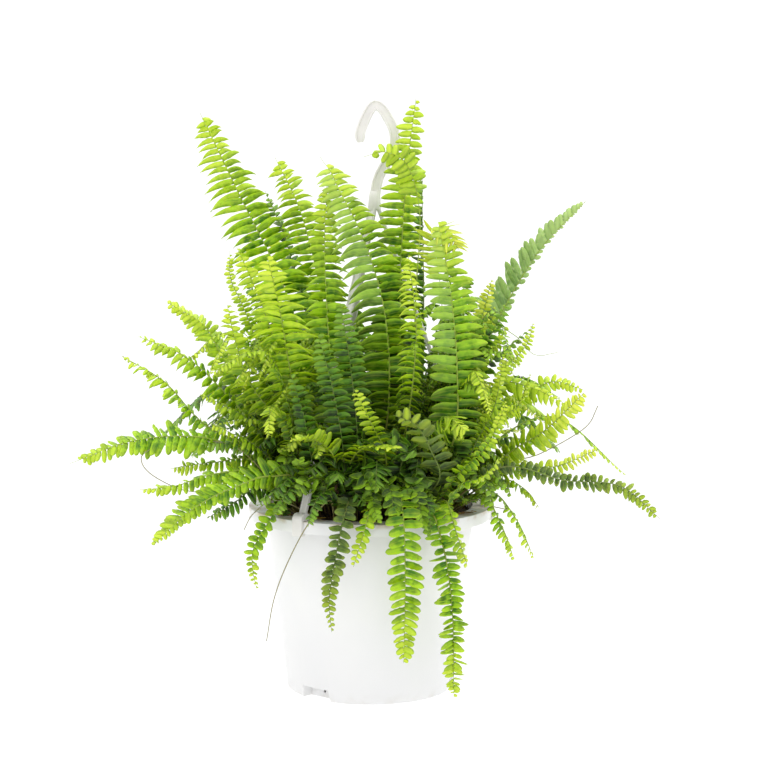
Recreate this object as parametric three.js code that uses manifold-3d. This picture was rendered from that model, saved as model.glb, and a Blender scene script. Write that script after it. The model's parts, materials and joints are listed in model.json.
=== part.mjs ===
// A sword fern in a white hanging pot: pot, soil, moulded hanger and one node for each frond or spray.
// Millimetres, +Z up. The origin is the middle of the pot's underside, and -Y is the side seen best.
import * as THREE from "three";
import { mergeVertices } from "three/addons/utils/BufferGeometryUtils.js";
import Module from "manifold-3d";

const wasm = await Module();
wasm.setup();

const UP = new THREE.Vector3(0, 0, 1);
const GAP = 0.3; // left between pieces that touch
const PAST = 20; // how far a cutting shape runs past what it cuts

// Pot: a tapered bucket with a flat lip and three drain notches in its bottom edge
const POT_HEIGHT = 160;
const BASE_RADIUS = 72;
const NECK_RADIUS = 89.5; // outside of the wall under the lip
const LIP_RADIUS = 105;
const LIP_DROP = 10; // the skirt that hangs from the lip's outer edge
const POT_WALL = 1.8;
const FLOOR = 2.4;
const FOOT_CHAMFER = 2.5;
const POT_SIDES = 36;
const NOTCH_BEARINGS = [-130, -10, 110]; // degrees from +X, seen from above
const NOTCH_HEIGHT = 11;
const NOTCH_WIDTH = 36;
const NOTCH_DEPTH = 12;
const NOTCH_SPLAY = 4; // how much narrower each side is at its top
const DRAIN_RADIUS = 3.5;
const DRAIN_HEIGHT = 5.5;
const DRAIN_SIDES = 12;

// Soil: fills the pot to a low mound level with the lip
const SOIL_MOUND = 159; // height in the middle
const SOIL_FALL = 6; // how much lower it lies at the wall
const SOIL_RINGS = [0.75, 0.4]; // where its top bends, as shares of the pot's neck
const ROOT_DEPTH = 22; // how far a stem stands in the soil

// Hanger: hook, strap, hub and three arms that clip over the lip
const HUB = new THREE.Vector3(4, 0, 424);
const HUB_RADII = [5, 7]; // at its top and its bottom
const HUB_HEIGHT = 16;
const ARM_BEARINGS = [-124, -4, 116];
const ARM_WIDTH = 7;
const ARM_THICKNESS = 3.2;
const ARM_FOOT_RADIUS = 100;
const HOOK_WIDTH = 8;
const HOOK_THICKNESS = 5;
const CLIP_WIDTH = 14;
const CLIP_PLATE = 2.2;
const CLIP_TOP = 3; // thickness over the lip
const CLIP_INSIDE = 95; // radius where it starts on the lip
const CLIP_CATCH = 2.6; // how far its lower end turns in under the skirt

// Fronds: a four-sided rib with leaflets cut to it in one thin blade
const RIB_WIDTH = 2.6;
const RIB_THICKNESS = 1.7;
const RUNNER_SHARE = 0.6; // a bare runner's size beside a rib's
const RIB_TAPER = 0.5; // share of its size that is left at the tip
const LEAF_THICKNESS = 0.7;
const LEAF_SWEEP = [0.4, 0.14]; // how far a leaflet leans to the tip: shares of its base and its length
const LEAF_DROOP = 0.14; // how far its end falls, as a share of its length
const LEAF_CLEARANCE = 0.5;
const LEAF_CUTS = [1, 0.78, 0.56, 0.38]; // the lengths tried where a leaflet would meet something
const RIB_CLEARANCE = 8; // between the middles of two ribs
const ARM_CLEARANCE = 9.5;
const ROUTE_STEP = 7;
const BEND_ROUNDS = 80; // the most rounds of pushing ribs apart
const BARE_SHARE = 0.2; // share of the stem without leaflets
const BARE_STEPS = 2;
const RUNNER_STEPS = 11;
const LAST_PAIR = 0.96; // where the last pair ends, as a share of the stem
const SHORTEST_LEAF = 2.5;
const CROWN = 5; // side and height of the peg that a spray's fronds grow from

const rad = THREE.MathUtils.degToRad;
const vec = (x, y, z) => new THREE.Vector3(x, y, z);
const polar = (bearing, radius, z) =>
  vec(radius * Math.cos(rad(bearing)), radius * Math.sin(rad(bearing)), z);

// A small fixed-seed generator, so that each build draws the same numbers
let seed = 7;
function draw(low, high) {
  seed = (seed * 16807) % 2147483647;
  return low + ((high - low) * seed) / 2147483647;
}

// Solids and geometries

function solid(geometry) {
  const bare = geometry.index ? geometry.clone() : geometry;
  bare.deleteAttribute("normal");
  bare.deleteAttribute("uv");
  const merged = mergeVertices(bare, 1e-4);
  return new wasm.Manifold(
    new wasm.Mesh({
      numProp: 3,
      vertProperties: new Float32Array(merged.attributes.position.array),
      triVerts: new Uint32Array(merged.index.array),
    }),
  );
}

function geometryOf(manifold) {
  const mesh = manifold.getMesh();
  const geometry = new THREE.BufferGeometry();
  geometry.setAttribute("position", new THREE.BufferAttribute(mesh.vertProperties, 3));
  geometry.setIndex(new THREE.BufferAttribute(mesh.triVerts, 1));
  geometry.computeVertexNormals();
  return geometry;
}

// A solid turned about +Z from [radius, height] pairs that start and end on the axis
function turned(profile, sides) {
  const points = profile.map(([r, z]) => new THREE.Vector2(r, z));
  return new THREE.LatheGeometry(points, sides).rotateX(Math.PI / 2);
}

function box(x, y, z) {
  return new THREE.BoxGeometry(x, y, z);
}

// Pot

function wallRadius(z) {
  return BASE_RADIUS + ((NECK_RADIUS - BASE_RADIUS) * z) / (POT_HEIGHT - LIP_DROP);
}

function soilTop(radius) {
  return SOIL_MOUND - SOIL_FALL * (radius / NECK_RADIUS) ** 2;
}

// The pocket that a drain notch cuts, grown by a margin; its sides splay towards the bottom
function notchPocket(bearing, margin) {
  const half = NOTCH_WIDTH / 2 + margin;
  const outline = new THREE.Shape([
    new THREE.Vector2(-half, -PAST),
    new THREE.Vector2(half, -PAST),
    new THREE.Vector2(half - NOTCH_SPLAY, NOTCH_HEIGHT + margin),
    new THREE.Vector2(NOTCH_SPLAY - half, NOTCH_HEIGHT + margin),
  ]);
  const pocket = new THREE.ExtrudeGeometry(outline, {
    depth: NOTCH_DEPTH + margin + PAST,
    bevelEnabled: false,
  });
  pocket.rotateX(Math.PI / 2);
  pocket.rotateZ(rad(bearing + 90));
  const start = polar(bearing, BASE_RADIUS - NOTCH_DEPTH - margin, 0);
  return pocket.translate(start.x, start.y, 0);
}

function drainHole(bearing) {
  const hole = new THREE.CylinderGeometry(DRAIN_RADIUS, DRAIN_RADIUS, NOTCH_DEPTH, DRAIN_SIDES);
  hole.rotateZ(Math.PI / 2);
  hole.rotateZ(rad(bearing));
  const middle = polar(bearing, BASE_RADIUS - NOTCH_DEPTH, DRAIN_HEIGHT);
  return hole.translate(middle.x, middle.y, middle.z);
}

function potInside(margin) {
  const top = POT_HEIGHT + PAST;
  return turned(
    [
      [0, FLOOR + margin],
      [wallRadius(FLOOR) - POT_WALL - margin, FLOOR + margin],
      [wallRadius(top) - POT_WALL - margin, top],
      [0, top],
    ],
    POT_SIDES,
  );
}

function makePot() {
  const skirt = POT_HEIGHT - LIP_DROP;
  const flange = POT_HEIGHT - POT_WALL;
  const outside = turned(
    [
      [0, 0],
      [BASE_RADIUS - FOOT_CHAMFER, 0],
      [wallRadius(FOOT_CHAMFER), FOOT_CHAMFER],
      [NECK_RADIUS, skirt],
      [wallRadius(flange), flange],
      [LIP_RADIUS - POT_WALL, flange],
      [LIP_RADIUS - POT_WALL, skirt],
      [LIP_RADIUS, skirt],
      [LIP_RADIUS, POT_HEIGHT - 1],
      [LIP_RADIUS - 1, POT_HEIGHT],
      [0, POT_HEIGHT],
    ],
    POT_SIDES,
  );
  let hollow = solid(potInside(0));
  let pot = solid(outside);
  for (const bearing of NOTCH_BEARINGS) {
    hollow = hollow.subtract(solid(notchPocket(bearing, POT_WALL)));
  }
  pot = pot.subtract(hollow);
  for (const bearing of NOTCH_BEARINGS) {
    pot = pot.subtract(solid(notchPocket(bearing, 0)));
    pot = pot.subtract(solid(drainHole(bearing)));
  }
  return pot;
}

// Soil, with a hole for each stem that stands in it

function makeSoil(roots) {
  const rim = wallRadius(soilTop(NECK_RADIUS)) - POT_WALL - GAP;
  const profile = [
    [0, FLOOR + GAP],
    [wallRadius(FLOOR) - POT_WALL - GAP, FLOOR + GAP],
    [rim, soilTop(rim)],
  ];
  for (const share of SOIL_RINGS) profile.push([share * NECK_RADIUS, soilTop(share * NECK_RADIUS)]);
  profile.push([0, soilTop(0)]);
  let soil = solid(turned(profile, POT_SIDES));
  for (const bearing of NOTCH_BEARINGS) {
    soil = soil.subtract(solid(notchPocket(bearing, POT_WALL + GAP)));
  }
  for (const { place, frame, width, depth } of roots) {
    const hole = box(depth + 2 * GAP, width + 2 * GAP, ROOT_DEPTH + PAST);
    hole.applyMatrix4(frame);
    const middle = place.z - GAP + (PAST - ROOT_DEPTH) / 2;
    soil = soil.subtract(solid(hole.translate(place.x, place.y, middle)));
  }
  return soil;
}

// Hanger

// The hook's middle line, from the free end of the crook over the crown and down to the hub
const HOOK_LINE = [
  [-8, 471],
  [-8, 480],
  [-3, 493],
  [1, 500],
  [5, 503],
  [11, 499],
  [18, 487],
  [21, 478],
  [21, 468],
  [18, 460],
  [13, 452],
  [7, 440],
  [4, 424],
].map(([x, z]) => vec(x, 0, z));

// A closed strap that follows a curve: an eight-sided section, wide along the curve's own plane
function strap(curve, steps, width, thickness) {
  const [a, b, c] = [width / 2, thickness / 2, Math.min(width, thickness) / 4];
  const section = new THREE.Shape(
    [
      [a, b - c],
      [a - c, b],
      [c - a, b],
      [-a, b - c],
      [-a, c - b],
      [c - a, -b],
      [a - c, -b],
      [a, c - b],
    ].map(([x, y]) => new THREE.Vector2(x, y)),
  );
  return new THREE.ExtrudeGeometry(section, { steps, bevelEnabled: false, extrudePath: curve });
}

function armFoot(bearing) {
  return polar(bearing, ARM_FOOT_RADIUS, POT_HEIGHT + 2);
}

// A straight bar of rectangular section whose width lies across the arm's bearing
function armBar(bearing) {
  const foot = armFoot(bearing);
  const along = foot.clone().sub(HUB);
  const bar = box(ARM_THICKNESS, ARM_WIDTH, along.length());
  const across = UP.clone().cross(along).normalize();
  const frame = new THREE.Matrix4().makeBasis(
    across.clone().cross(along).normalize(),
    across,
    along.clone().normalize(),
  );
  bar.applyMatrix4(frame);
  const middle = HUB.clone().add(foot).multiplyScalar(0.5);
  return bar.translate(middle.x, middle.y, middle.z);
}

// The clip at an arm's foot: over the lip, down its skirt and back under it
function clipBars(bearing) {
  const inner = LIP_RADIUS + GAP;
  const outer = inner + CLIP_PLATE;
  const top = POT_HEIGHT + GAP;
  const bottom = POT_HEIGHT - LIP_DROP - GAP;
  const bars = [
    [CLIP_INSIDE, outer, top, top + CLIP_TOP],
    [inner, outer, bottom - CLIP_PLATE, top + CLIP_TOP],
    [LIP_RADIUS - CLIP_CATCH, outer, bottom - CLIP_PLATE, bottom],
  ];
  return bars.map(([near, far, low, high]) => {
    const bar = box(far - near, CLIP_WIDTH, high - low);
    bar.translate((near + far) / 2, 0, (low + high) / 2);
    return bar.rotateZ(rad(bearing));
  });
}

function makeHanger() {
  const hookCurve = new THREE.CatmullRomCurve3(HOOK_LINE);
  let hanger = solid(strap(hookCurve, 22, HOOK_THICKNESS, HOOK_WIDTH));
  const hub = new THREE.CylinderGeometry(...HUB_RADII, HUB_HEIGHT, 8).rotateX(Math.PI / 2);
  hanger = hanger.add(solid(hub.translate(HUB.x, HUB.y, HUB.z - 2)));
  for (const bearing of ARM_BEARINGS) {
    hanger = hanger.add(solid(armBar(bearing)));
    for (const bar of clipBars(bearing)) hanger = hanger.add(solid(bar));
  }
  return hanger;
}

// Fronds as a grower would list them. root is where the stem leaves the soil [x, y], way is the rib's
// route from there to its tip, width is the blade's full width, pairs counts its leaflets, bare is the
// share of the stem without them. face is the bearing that the blade looks to where it stands upright,
// otherwise the middle of the plant, and turn rolls it about its rib, in degrees.

const LOOKS = {
  fresh: 0x9ccb2f,
  mid: 0x5f9a2a,
  deep: 0x2f6a35,
  young: 0xc4dc3a,
  stem: 0x8a9a58,
};

const FRONT = -90;

const FRONDS = [
  { name: "upper_frond_1", root: [-28, 6], width: 55, pairs: 19, face: FRONT, look: "mid",
    way: [[-43, 14, 248], [-76, 30, 348], [-114, 44, 425], [-149, 54, 497]] },
  { name: "upper_frond_2", root: [-20, 30], width: 42, pairs: 15, face: FRONT, look: "fresh",
    way: [[-28, 38, 255], [-44, 54, 342], [-62, 70, 410], [-85, 82, 458]] },
  { name: "upper_frond_3", root: [-24, -34], width: 37, pairs: 15, face: FRONT, look: "deep",
    way: [[-28, -68, 235], [-35, -50, 321], [-38, -32, 389], [-35, -20, 445]] },
  { name: "upper_frond_4", root: [4, -22], width: 59, pairs: 17, face: FRONT, look: "fresh",
    way: [[16, -40, 255], [12, -46, 332], [-8, -40, 397], [-42, -16, 459]] },
  { name: "upper_frond_5", root: [12, 0], width: 42, pairs: 18, face: FRONT, look: "mid",
    way: [[25, -8, 251], [26, -16, 359], [31, -18, 444], [39, -14, 508]] },
  { name: "upper_frond_6", root: [22, -12], width: 22, pairs: 12, face: FRONT, look: "fresh",
    way: [[35, -24, 253], [39, -32, 348], [42, -32, 411], [32, -28, 451], [13, -26, 463], [-5, -24, 459]] },
  { name: "upper_frond_7", root: [24, 16], width: 25, pairs: 11, face: -50, look: "deep",
    way: [[44, 26, 248], [47, 40, 334], [46, 55, 395], [46, 68, 445]] },
  { name: "upper_frond_8", root: [42, -46], width: 49, pairs: 15, face: FRONT, look: "deep",
    way: [[70, -64, 225], [72, -78, 289], [66, -86, 351], [56, -88, 407]] },
  { name: "upper_frond_9", root: [14, -34], width: 25, pairs: 11, face: FRONT, look: "young",
    way: [[31, -56, 236], [38, -86, 306], [36, -102, 345], [31, -118, 382]] },
  { name: "upper_frond_10", root: [-50, -36], width: 63, pairs: 13, face: FRONT, look: "mid",
    way: [[-56, -56, 240], [-65, -78, 283], [-73, -96, 336], [-82, -110, 380]] },
  { name: "upper_frond_11", root: [-56, -8], width: 36, pairs: 10, face: FRONT, look: "young",
    way: [[-73, -26, 226], [-100, -44, 269], [-112, -56, 307], [-118, -64, 338]] },
  { name: "upper_frond_12", root: [-42, -16], width: 32, pairs: 11, face: FRONT, look: "fresh",
    way: [[-62, -32, 245], [-85, -48, 322], [-98, -54, 357], [-110, -60, 385]] },
  { name: "upper_frond_13", root: [-46, 18], width: 19, pairs: 9, face: FRONT, look: "fresh",
    way: [[-78, 24, 243], [-109, 32, 324], [-122, 40, 352], [-123, 46, 377]] },
  { name: "left_frond_1", root: [-60, 8], width: 30, pairs: 11, turn: 55, look: "fresh",
    way: [[-87, 10, 224], [-126, 18, 281], [-144, 26, 312], [-177, 34, 332]] },
  { name: "left_frond_2", root: [-66, -8], width: 30, pairs: 11, turn: 45, look: "mid",
    way: [[-88, -12, 214], [-124, -18, 259], [-157, -20, 290], [-197, -18, 307]] },
  { name: "left_frond_3", root: [-64, -22], width: 22, pairs: 11, turn: 20, look: "deep",
    way: [[-92, -32, 207], [-139, -44, 235], [-172, -46, 271], [-208, -44, 293]] },
  { name: "left_frond_4", root: [-60, -38], width: 30, pairs: 15, turn: 60, look: "fresh",
    way: [[-91, -52, 204], [-137, -62, 226], [-195, -70, 225], [-249, -72, 206]] },
  { name: "left_frond_5", root: [-54, -50], width: 22, pairs: 9, turn: 35, look: "mid",
    way: [[-90, -72, 197], [-128, -84, 199], [-160, -90, 190], [-189, -92, 187]] },
  { name: "left_frond_6", root: [-42, -58], width: 44, pairs: 13, turn: 60, look: "fresh",
    way: [[-66, -84, 199], [-111, -104, 191], [-146, -112, 173], [-176, -114, 145]] },
  { name: "left_frond_7", root: [-68, -31], width: 19, pairs: 7, turn: 40, look: "mid",
    way: [[-97, -40, 202], [-131, -46, 203], [-168, -48, 198]] },
  { name: "left_frond_8", root: [-50, -57], width: 20, pairs: 6, turn: 40, look: "deep",
    way: [[-90, -58, 183], [-113, -66, 172], [-136, -68, 159]] },
  { name: "hanging_frond_1", root: [-45, -46], width: 19, pairs: 9, face: 40, look: "mid",
    way: [[-68, -66, 179], [-82, -84, 161], [-96, -86, 137], [-97, -82, 117], [-94, -78, 101]] },
  { name: "hanging_frond_2", root: [-16, -60], width: 22, pairs: 10, look: "deep",
    way: [[-16, -92, 179], [-22, -116, 163], [-28, -116, 133], [-33, -112, 99], [-31, -110, 72]] },
  { name: "hanging_frond_3", root: [0, -64], width: 15, pairs: 6, look: "fresh",
    way: [[2, -98, 176], [-4, -116, 158], [-13, -118, 128]] },
  { name: "hanging_frond_4", root: [16, -62], width: 33, pairs: 14, look: "fresh",
    way: [[23, -96, 188], [28, -122, 163], [29, -124, 110], [28, -118, 48]] },
  { name: "hanging_frond_5", root: [32, -62], width: 22, pairs: 15, look: "fresh",
    way: [[46, -94, 179], [60, -110, 144], [68, -104, 89], [70, -94, 13]] },
  { name: "hanging_frond_6", root: [46, -56], width: 17, pairs: 6, look: "mid",
    way: [[62, -84, 177], [72, -96, 150], [81, -92, 123]] },
  { name: "hanging_frond_7", root: [62, -34], width: 17, pairs: 6, look: "mid",
    way: [[93, -56, 178], [111, -66, 151], [121, -66, 124]] },
  { name: "hanging_frond_8", root: [70, -22], width: 19, pairs: 6, look: "fresh",
    way: [[102, -36, 176], [124, -46, 154], [139, -46, 121]] },
  { name: "hanging_frond_9", root: [72, -8], width: 15, pairs: 5, look: "mid",
    way: [[111, -18, 183], [133, -24, 176], [145, -26, 160]] },
  { name: "right_frond_1", root: [56, -44], width: 19, pairs: 15, turn: -60, look: "mid",
    way: [[108, -70, 202], [162, -80, 193], [207, -84, 189], [241, -84, 161]] },
  { name: "right_frond_2", root: [64, -26], width: 20, pairs: 7, turn: -40, look: "young",
    way: [[114, -44, 193], [157, -54, 201], [191, -58, 216]] },
  { name: "right_frond_3", root: [62, -14], width: 25, pairs: 8, turn: -45, look: "young",
    way: [[115, -34, 207], [146, -60, 232], [177, -78, 266]] },
  { name: "right_frond_4", root: [54, 8], width: 20, pairs: 8, turn: -40, look: "mid",
    way: [[97, 10, 223], [134, 12, 252], [158, 12, 265], [185, 12, 258]] },
  { name: "right_frond_5", root: [48, -8], width: 29, pairs: 10, turn: -55, look: "fresh",
    way: [[86, -18, 231], [110, -28, 267], [137, -34, 265], [166, -36, 251]] },
  { name: "right_frond_6", root: [48, -32], width: 34, pairs: 8, turn: -60, look: "young",
    way: [[84, -52, 223], [101, -74, 243], [133, -98, 260]] },
  { name: "right_frond_7", root: [40, 6], width: 22, pairs: 11, turn: -40, look: "deep",
    way: [[71, 4, 250], [96, 2, 313], [122, 0, 308], [141, -2, 290], [161, -4, 292]] },
  { name: "right_frond_8", root: [52, 22], width: 15, pairs: 7, face: FRONT, look: "mid",
    way: [[92, 32, 230], [119, 46, 271], [138, 52, 293], [144, 54, 313]] },
  { name: "right_frond_9", root: [36, 28], width: 34, pairs: 16, turn: -30, look: "deep",
    way: [[74, 38, 246], [115, 54, 320], [150, 66, 376], [192, 76, 420]] },
  { name: "right_frond_10", root: [34, -14], width: 20, pairs: 9, face: FRONT, look: "young",
    way: [[73, -20, 253], [92, -24, 313], [103, -24, 356]] },
  { name: "right_frond_11", root: [32, -26], width: 30, pairs: 9, face: FRONT, look: "deep",
    way: [[68, -40, 238], [87, -58, 292], [102, -68, 316], [114, -76, 343]] },
  { name: "inner_frond_1", root: [-2, -50], width: 34, pairs: 7, face: FRONT, look: "fresh",
    way: [[13, -84, 211], [2, -106, 243], [-12, -124, 274]] },
  { name: "inner_frond_2", root: [-26, -48], width: 29, pairs: 6, face: FRONT, look: "young",
    way: [[-29, -84, 209], [-43, -106, 230], [-64, -126, 232]] },
  { name: "inner_frond_3", root: [-14, -40], width: 25, pairs: 6, face: FRONT, look: "fresh",
    way: [[-16, -74, 203], [-3, -104, 224], [28, -134, 227]] },
  { name: "inner_frond_4", root: [30, -48], width: 37, pairs: 6, face: FRONT, look: "deep",
    way: [[57, -86, 194], [50, -106, 222], [38, -118, 244], [20, -124, 253]] },
];

// Leafless runners, as fine as string, that hang or stand out among the fronds
const RUNNERS = [
  { name: "hanging_runner", root: [-30, -62], width: 0, pairs: 0, look: "stem",
    way: [[-33, -84, 177], [-50, -104, 161], [-67, -104, 129], [-79, -94, 96], [-86, -82, 58]] },
  { name: "right_runner", root: [70, 6], width: 0, pairs: 0, look: "stem",
    way: [[112, -4, 193], [146, -10, 205], [184, -14, 228], [195, -14, 247]] },
];

// Sprays: a few fronds that share one crown. Behind the plant they are full size, and tall gives those
// that stand up as [degrees off the bearing, reach, height]. Low in the front and at the sides they are
// the short dark ones that hide the soil.
const BACK_SPRAYS = [
  { root: [62, 24], bearing: 18, tall: [[4, 62, 310]] },
  { root: [40, 46], bearing: 48, tall: [[2, 78, 350]] },
  { root: [10, 34], bearing: 76, tall: [[-4, 74, 428], [4, 112, 350]] },
  { root: [2, 62], bearing: 98, tall: [[3, 84, 312]] },
  { root: [-30, 52], bearing: 126, tall: [[8, 92, 398], [-6, 120, 330]] },
  { root: [-52, 34], bearing: 156, tall: [[-6, 66, 348]] },
];
const LOW_SPRAYS = [
  { root: [-34, -36], bearing: -150 },
  { root: [-14, -24], bearing: -110 },
  { root: [8, -47], bearing: -70 },
  { root: [44, -20], bearing: -28 },
];

// One frond of a spray: it rises from its root along a bearing and arches over to its tip
function sprayFrond(root, bearing, reach, crest, tip, shape) {
  const start = vec(root[0], root[1], 0);
  const risen = SOIL_MOUND + (crest - SOIL_MOUND) * 0.58;
  const rise = start.clone().add(polar(bearing, reach * 0.22, risen));
  const top = start.clone().add(polar(bearing, reach * 0.6, crest));
  const end = start.clone().add(polar(bearing, reach, tip));
  return { root, way: [rise, top, end].map((p) => p.toArray()), ...shape };
}

function backSpray({ root, bearing, tall }, k) {
  const shape = { width: 36, pairs: 7, look: k % 2 ? "deep" : "mid" };
  const low = { ...shape, width: 26, pairs: 5 };
  const upright = { ...shape, width: 38, pairs: 10 };
  return {
    name: `back_spray_${k + 1}`,
    root,
    fronds: [
      ...tall.map(([aside, reach, height]) =>
        sprayFrond(root, bearing + aside, reach, SOIL_MOUND + (height - SOIL_MOUND) * 0.8, height, upright),
      ),
      sprayFrond(root, bearing - draw(16, 24), draw(140, 165), draw(225, 250), draw(175, 200), shape),
      sprayFrond(root, bearing + draw(16, 24), draw(120, 145), draw(235, 262), draw(200, 225), shape),
      sprayFrond(root, bearing + draw(-9, 9), draw(66, 84), draw(200, 216), draw(186, 200), low),
    ],
  };
}

function lowSpray({ root, bearing }, k) {
  const shape = { width: 26, pairs: 5, look: "deep" };
  return {
    name: `low_spray_${k + 1}`,
    root,
    fronds: [-66, -22, 22, 66].map((aside) =>
      sprayFrond(root, bearing + aside, draw(66, 84), draw(200, 216), draw(192, 205), shape),
    ),
  };
}

const SPRAYS = [...BACK_SPRAYS.map(backSpray), ...LOW_SPRAYS.map(lowSpray)];

const NODES = [
  ...[...FRONDS, ...RUNNERS].map((frond) => ({ name: frond.name, root: frond.root, fronds: [frond] })),
  ...SPRAYS,
];
const ALL_FRONDS = NODES.flatMap((node) => node.fronds.map((frond) => ({ ...frond, node })));

// Each rib's route as evenly spaced points, from just above the soil to the tip
for (const frond of ALL_FRONDS) {
  const [x, y] = frond.root;
  const start = vec(x, y, soilTop(Math.hypot(x, y)) + 0.8);
  const points = [start, ...frond.way.map((p) => vec(...p))];
  const curve = new THREE.CatmullRomCurve3(points, false, "catmullrom", 0.5);
  frond.route = curve.getSpacedPoints(Math.ceil(curve.getLength() / ROUTE_STEP));
}

// Points along the hook and the arms, which no rib may come near
function hangerPoints() {
  const points = new THREE.CatmullRomCurve3(HOOK_LINE).getSpacedPoints(16);
  for (const bearing of ARM_BEARINGS) {
    const foot = armFoot(bearing);
    for (let i = 0; i <= 34; i++) points.push(HUB.clone().lerp(foot, i / 34));
  }
  return points;
}

// Where two routes come nearer than they may, adds to each point's shift half the way apart
function pushApart(a, b, least, shiftsA, shiftsB) {
  const room = new THREE.Box3().setFromPoints(b).expandByScalar(least);
  const push = new THREE.Vector3();
  let met = false;
  a.forEach((p, i) => {
    if (!i || !room.containsPoint(p)) return;
    b.forEach((q, j) => {
      const distance = p.distanceTo(q);
      if (distance >= least) return;
      push.subVectors(p, q).multiplyScalar((least - distance) / (2 * Math.max(distance, 0.01)));
      shiftsA[i].add(push);
      shiftsB[j].sub(push);
      met = true;
    });
  });
  return met;
}

// Bends ribs clear of each other and of the hanger: points that are too near push each other apart,
// and each rib spreads the push along itself, so that it stays one smooth bend.
function bendClear(fronds, fixed) {
  const still = fixed.map(() => vec(0, 0, 0));
  for (let round = 0; round < BEND_ROUNDS; round++) {
    const shifts = fronds.map((f) => f.route.map(() => vec(0, 0, 0)));
    let met = false;
    fronds.forEach((frond, a) => {
      met = pushApart(frond.route, fixed, ARM_CLEARANCE, shifts[a], still) || met;
      for (let b = a + 1; b < fronds.length; b++) {
        if (frond.node === fronds[b].node) continue;
        met = pushApart(frond.route, fronds[b].route, RIB_CLEARANCE, shifts[a], shifts[b]) || met;
      }
    });
    if (!met) return;
    fronds.forEach((frond, a) => {
      const last = frond.route.length - 1;
      frond.route.forEach((p, i) => {
        const spread = vec(0, 0, 0);
        for (const j of [i - 1, i, i + 1]) {
          const share = j === i ? 0.6 : 0.35;
          if (j > 0 && j <= last) spread.addScaledVector(shifts[a][j], share);
        }
        const near = Math.min(1, i / 4); // a stem hardly moves where it leaves the soil
        p.addScaledVector(spread, near);
      });
    });
  }
}

bendClear(ALL_FRONDS, hangerPoints());

// Convex pieces, for the test of what a leaflet would meet

function convex(points, normals, edges) {
  const middle = vec(0, 0, 0);
  for (const p of points) middle.addScaledVector(p, 1 / points.length);
  const radius = Math.max(...points.map((p) => p.distanceTo(middle)));
  return { points, normals, edges, middle, radius };
}

// True when some axis shows a gap of at least the given width between two convex pieces
function apart(a, b, gap) {
  if (a.middle.distanceTo(b.middle) > a.radius + b.radius + gap) return true;
  const axes = [...a.normals, ...b.normals];
  for (const p of a.edges) for (const q of b.edges) axes.push(p.clone().cross(q));
  return axes.some((axis) => {
    const size = axis.length();
    if (size < 1e-3) return false;
    const spanA = a.points.map((p) => p.dot(axis));
    const spanB = b.points.map((p) => p.dot(axis));
    const free = Math.max(
      Math.min(...spanA) - Math.max(...spanB),
      Math.min(...spanB) - Math.max(...spanA),
    );
    return free > gap * size;
  });
}

// The straight piece between two four-cornered sections
function barPiece(low, high) {
  const across = low[1].clone().sub(low[0]).normalize();
  const through = low[3].clone().sub(low[0]).normalize();
  const along = high[0].clone().sub(low[0]).normalize();
  const edges = [across, through, along];
  const normals = [across.clone().cross(along), through.clone().cross(along), along, across, through];
  return convex([...low, ...high], normals, edges);
}

// Corners of a section: left and right of the rib above, then right and left below
function section(centre, side, normal, width, thickness) {
  return [
    [1, 1],
    [-1, 1],
    [-1, -1],
    [1, -1],
  ].map(([s, n]) =>
    centre
      .clone()
      .addScaledVector(side, (s * width) / 2)
      .addScaledVector(normal, (n * thickness) / 2),
  );
}

function hangerPieces() {
  const pieces = [];
  const run = (points, side, width, thickness) => {
    for (let i = 1; i < points.length; i++) {
      const along = points[i].clone().sub(points[i - 1]).normalize();
      const normal = side.clone().cross(along).normalize();
      const ends = [points[i - 1], points[i]];
      const [low, high] = ends.map((p) => section(p, side, normal, width, thickness));
      pieces.push(barPiece(low, high));
    }
  };
  run(new THREE.CatmullRomCurve3(HOOK_LINE).getSpacedPoints(16), vec(0, 1, 0), HOOK_THICKNESS, HOOK_WIDTH);
  const hubWidth = 2 * Math.max(...HUB_RADII);
  const hubEnds = [-1, 1].map((end) => HUB.clone().setZ(HUB.z - 2 + (end * (HUB_HEIGHT + 4)) / 2));
  run(hubEnds, vec(0, 1, 0), hubWidth, hubWidth);
  for (const bearing of ARM_BEARINGS) {
    const across = polar(bearing + 90, 1, 0);
    run([HUB, armFoot(bearing)], across, ARM_WIDTH, ARM_THICKNESS);
    const middle = POT_HEIGHT - LIP_DROP / 2;
    const clip = [CLIP_INSIDE - 1, LIP_RADIUS + 3].map((radius) => polar(bearing, radius, middle));
    run(clip, across, CLIP_WIDTH, LIP_DROP + 8);
  }
  return pieces;
}

// True where a point lies outside the pot and above the soil
function clearOfPot(p) {
  const room = 1.5;
  const radius = Math.hypot(p.x, p.y);
  if (radius > LIP_RADIUS + room) return p.z > room;
  if (radius < wallRadius(POT_HEIGHT) - POT_WALL - 2 * room) return p.z > soilTop(radius) + 1;
  if (p.z > POT_HEIGHT + room) return true;
  return p.z < POT_HEIGHT - LIP_DROP - room && radius > wallRadius(p.z) + room;
}

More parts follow.
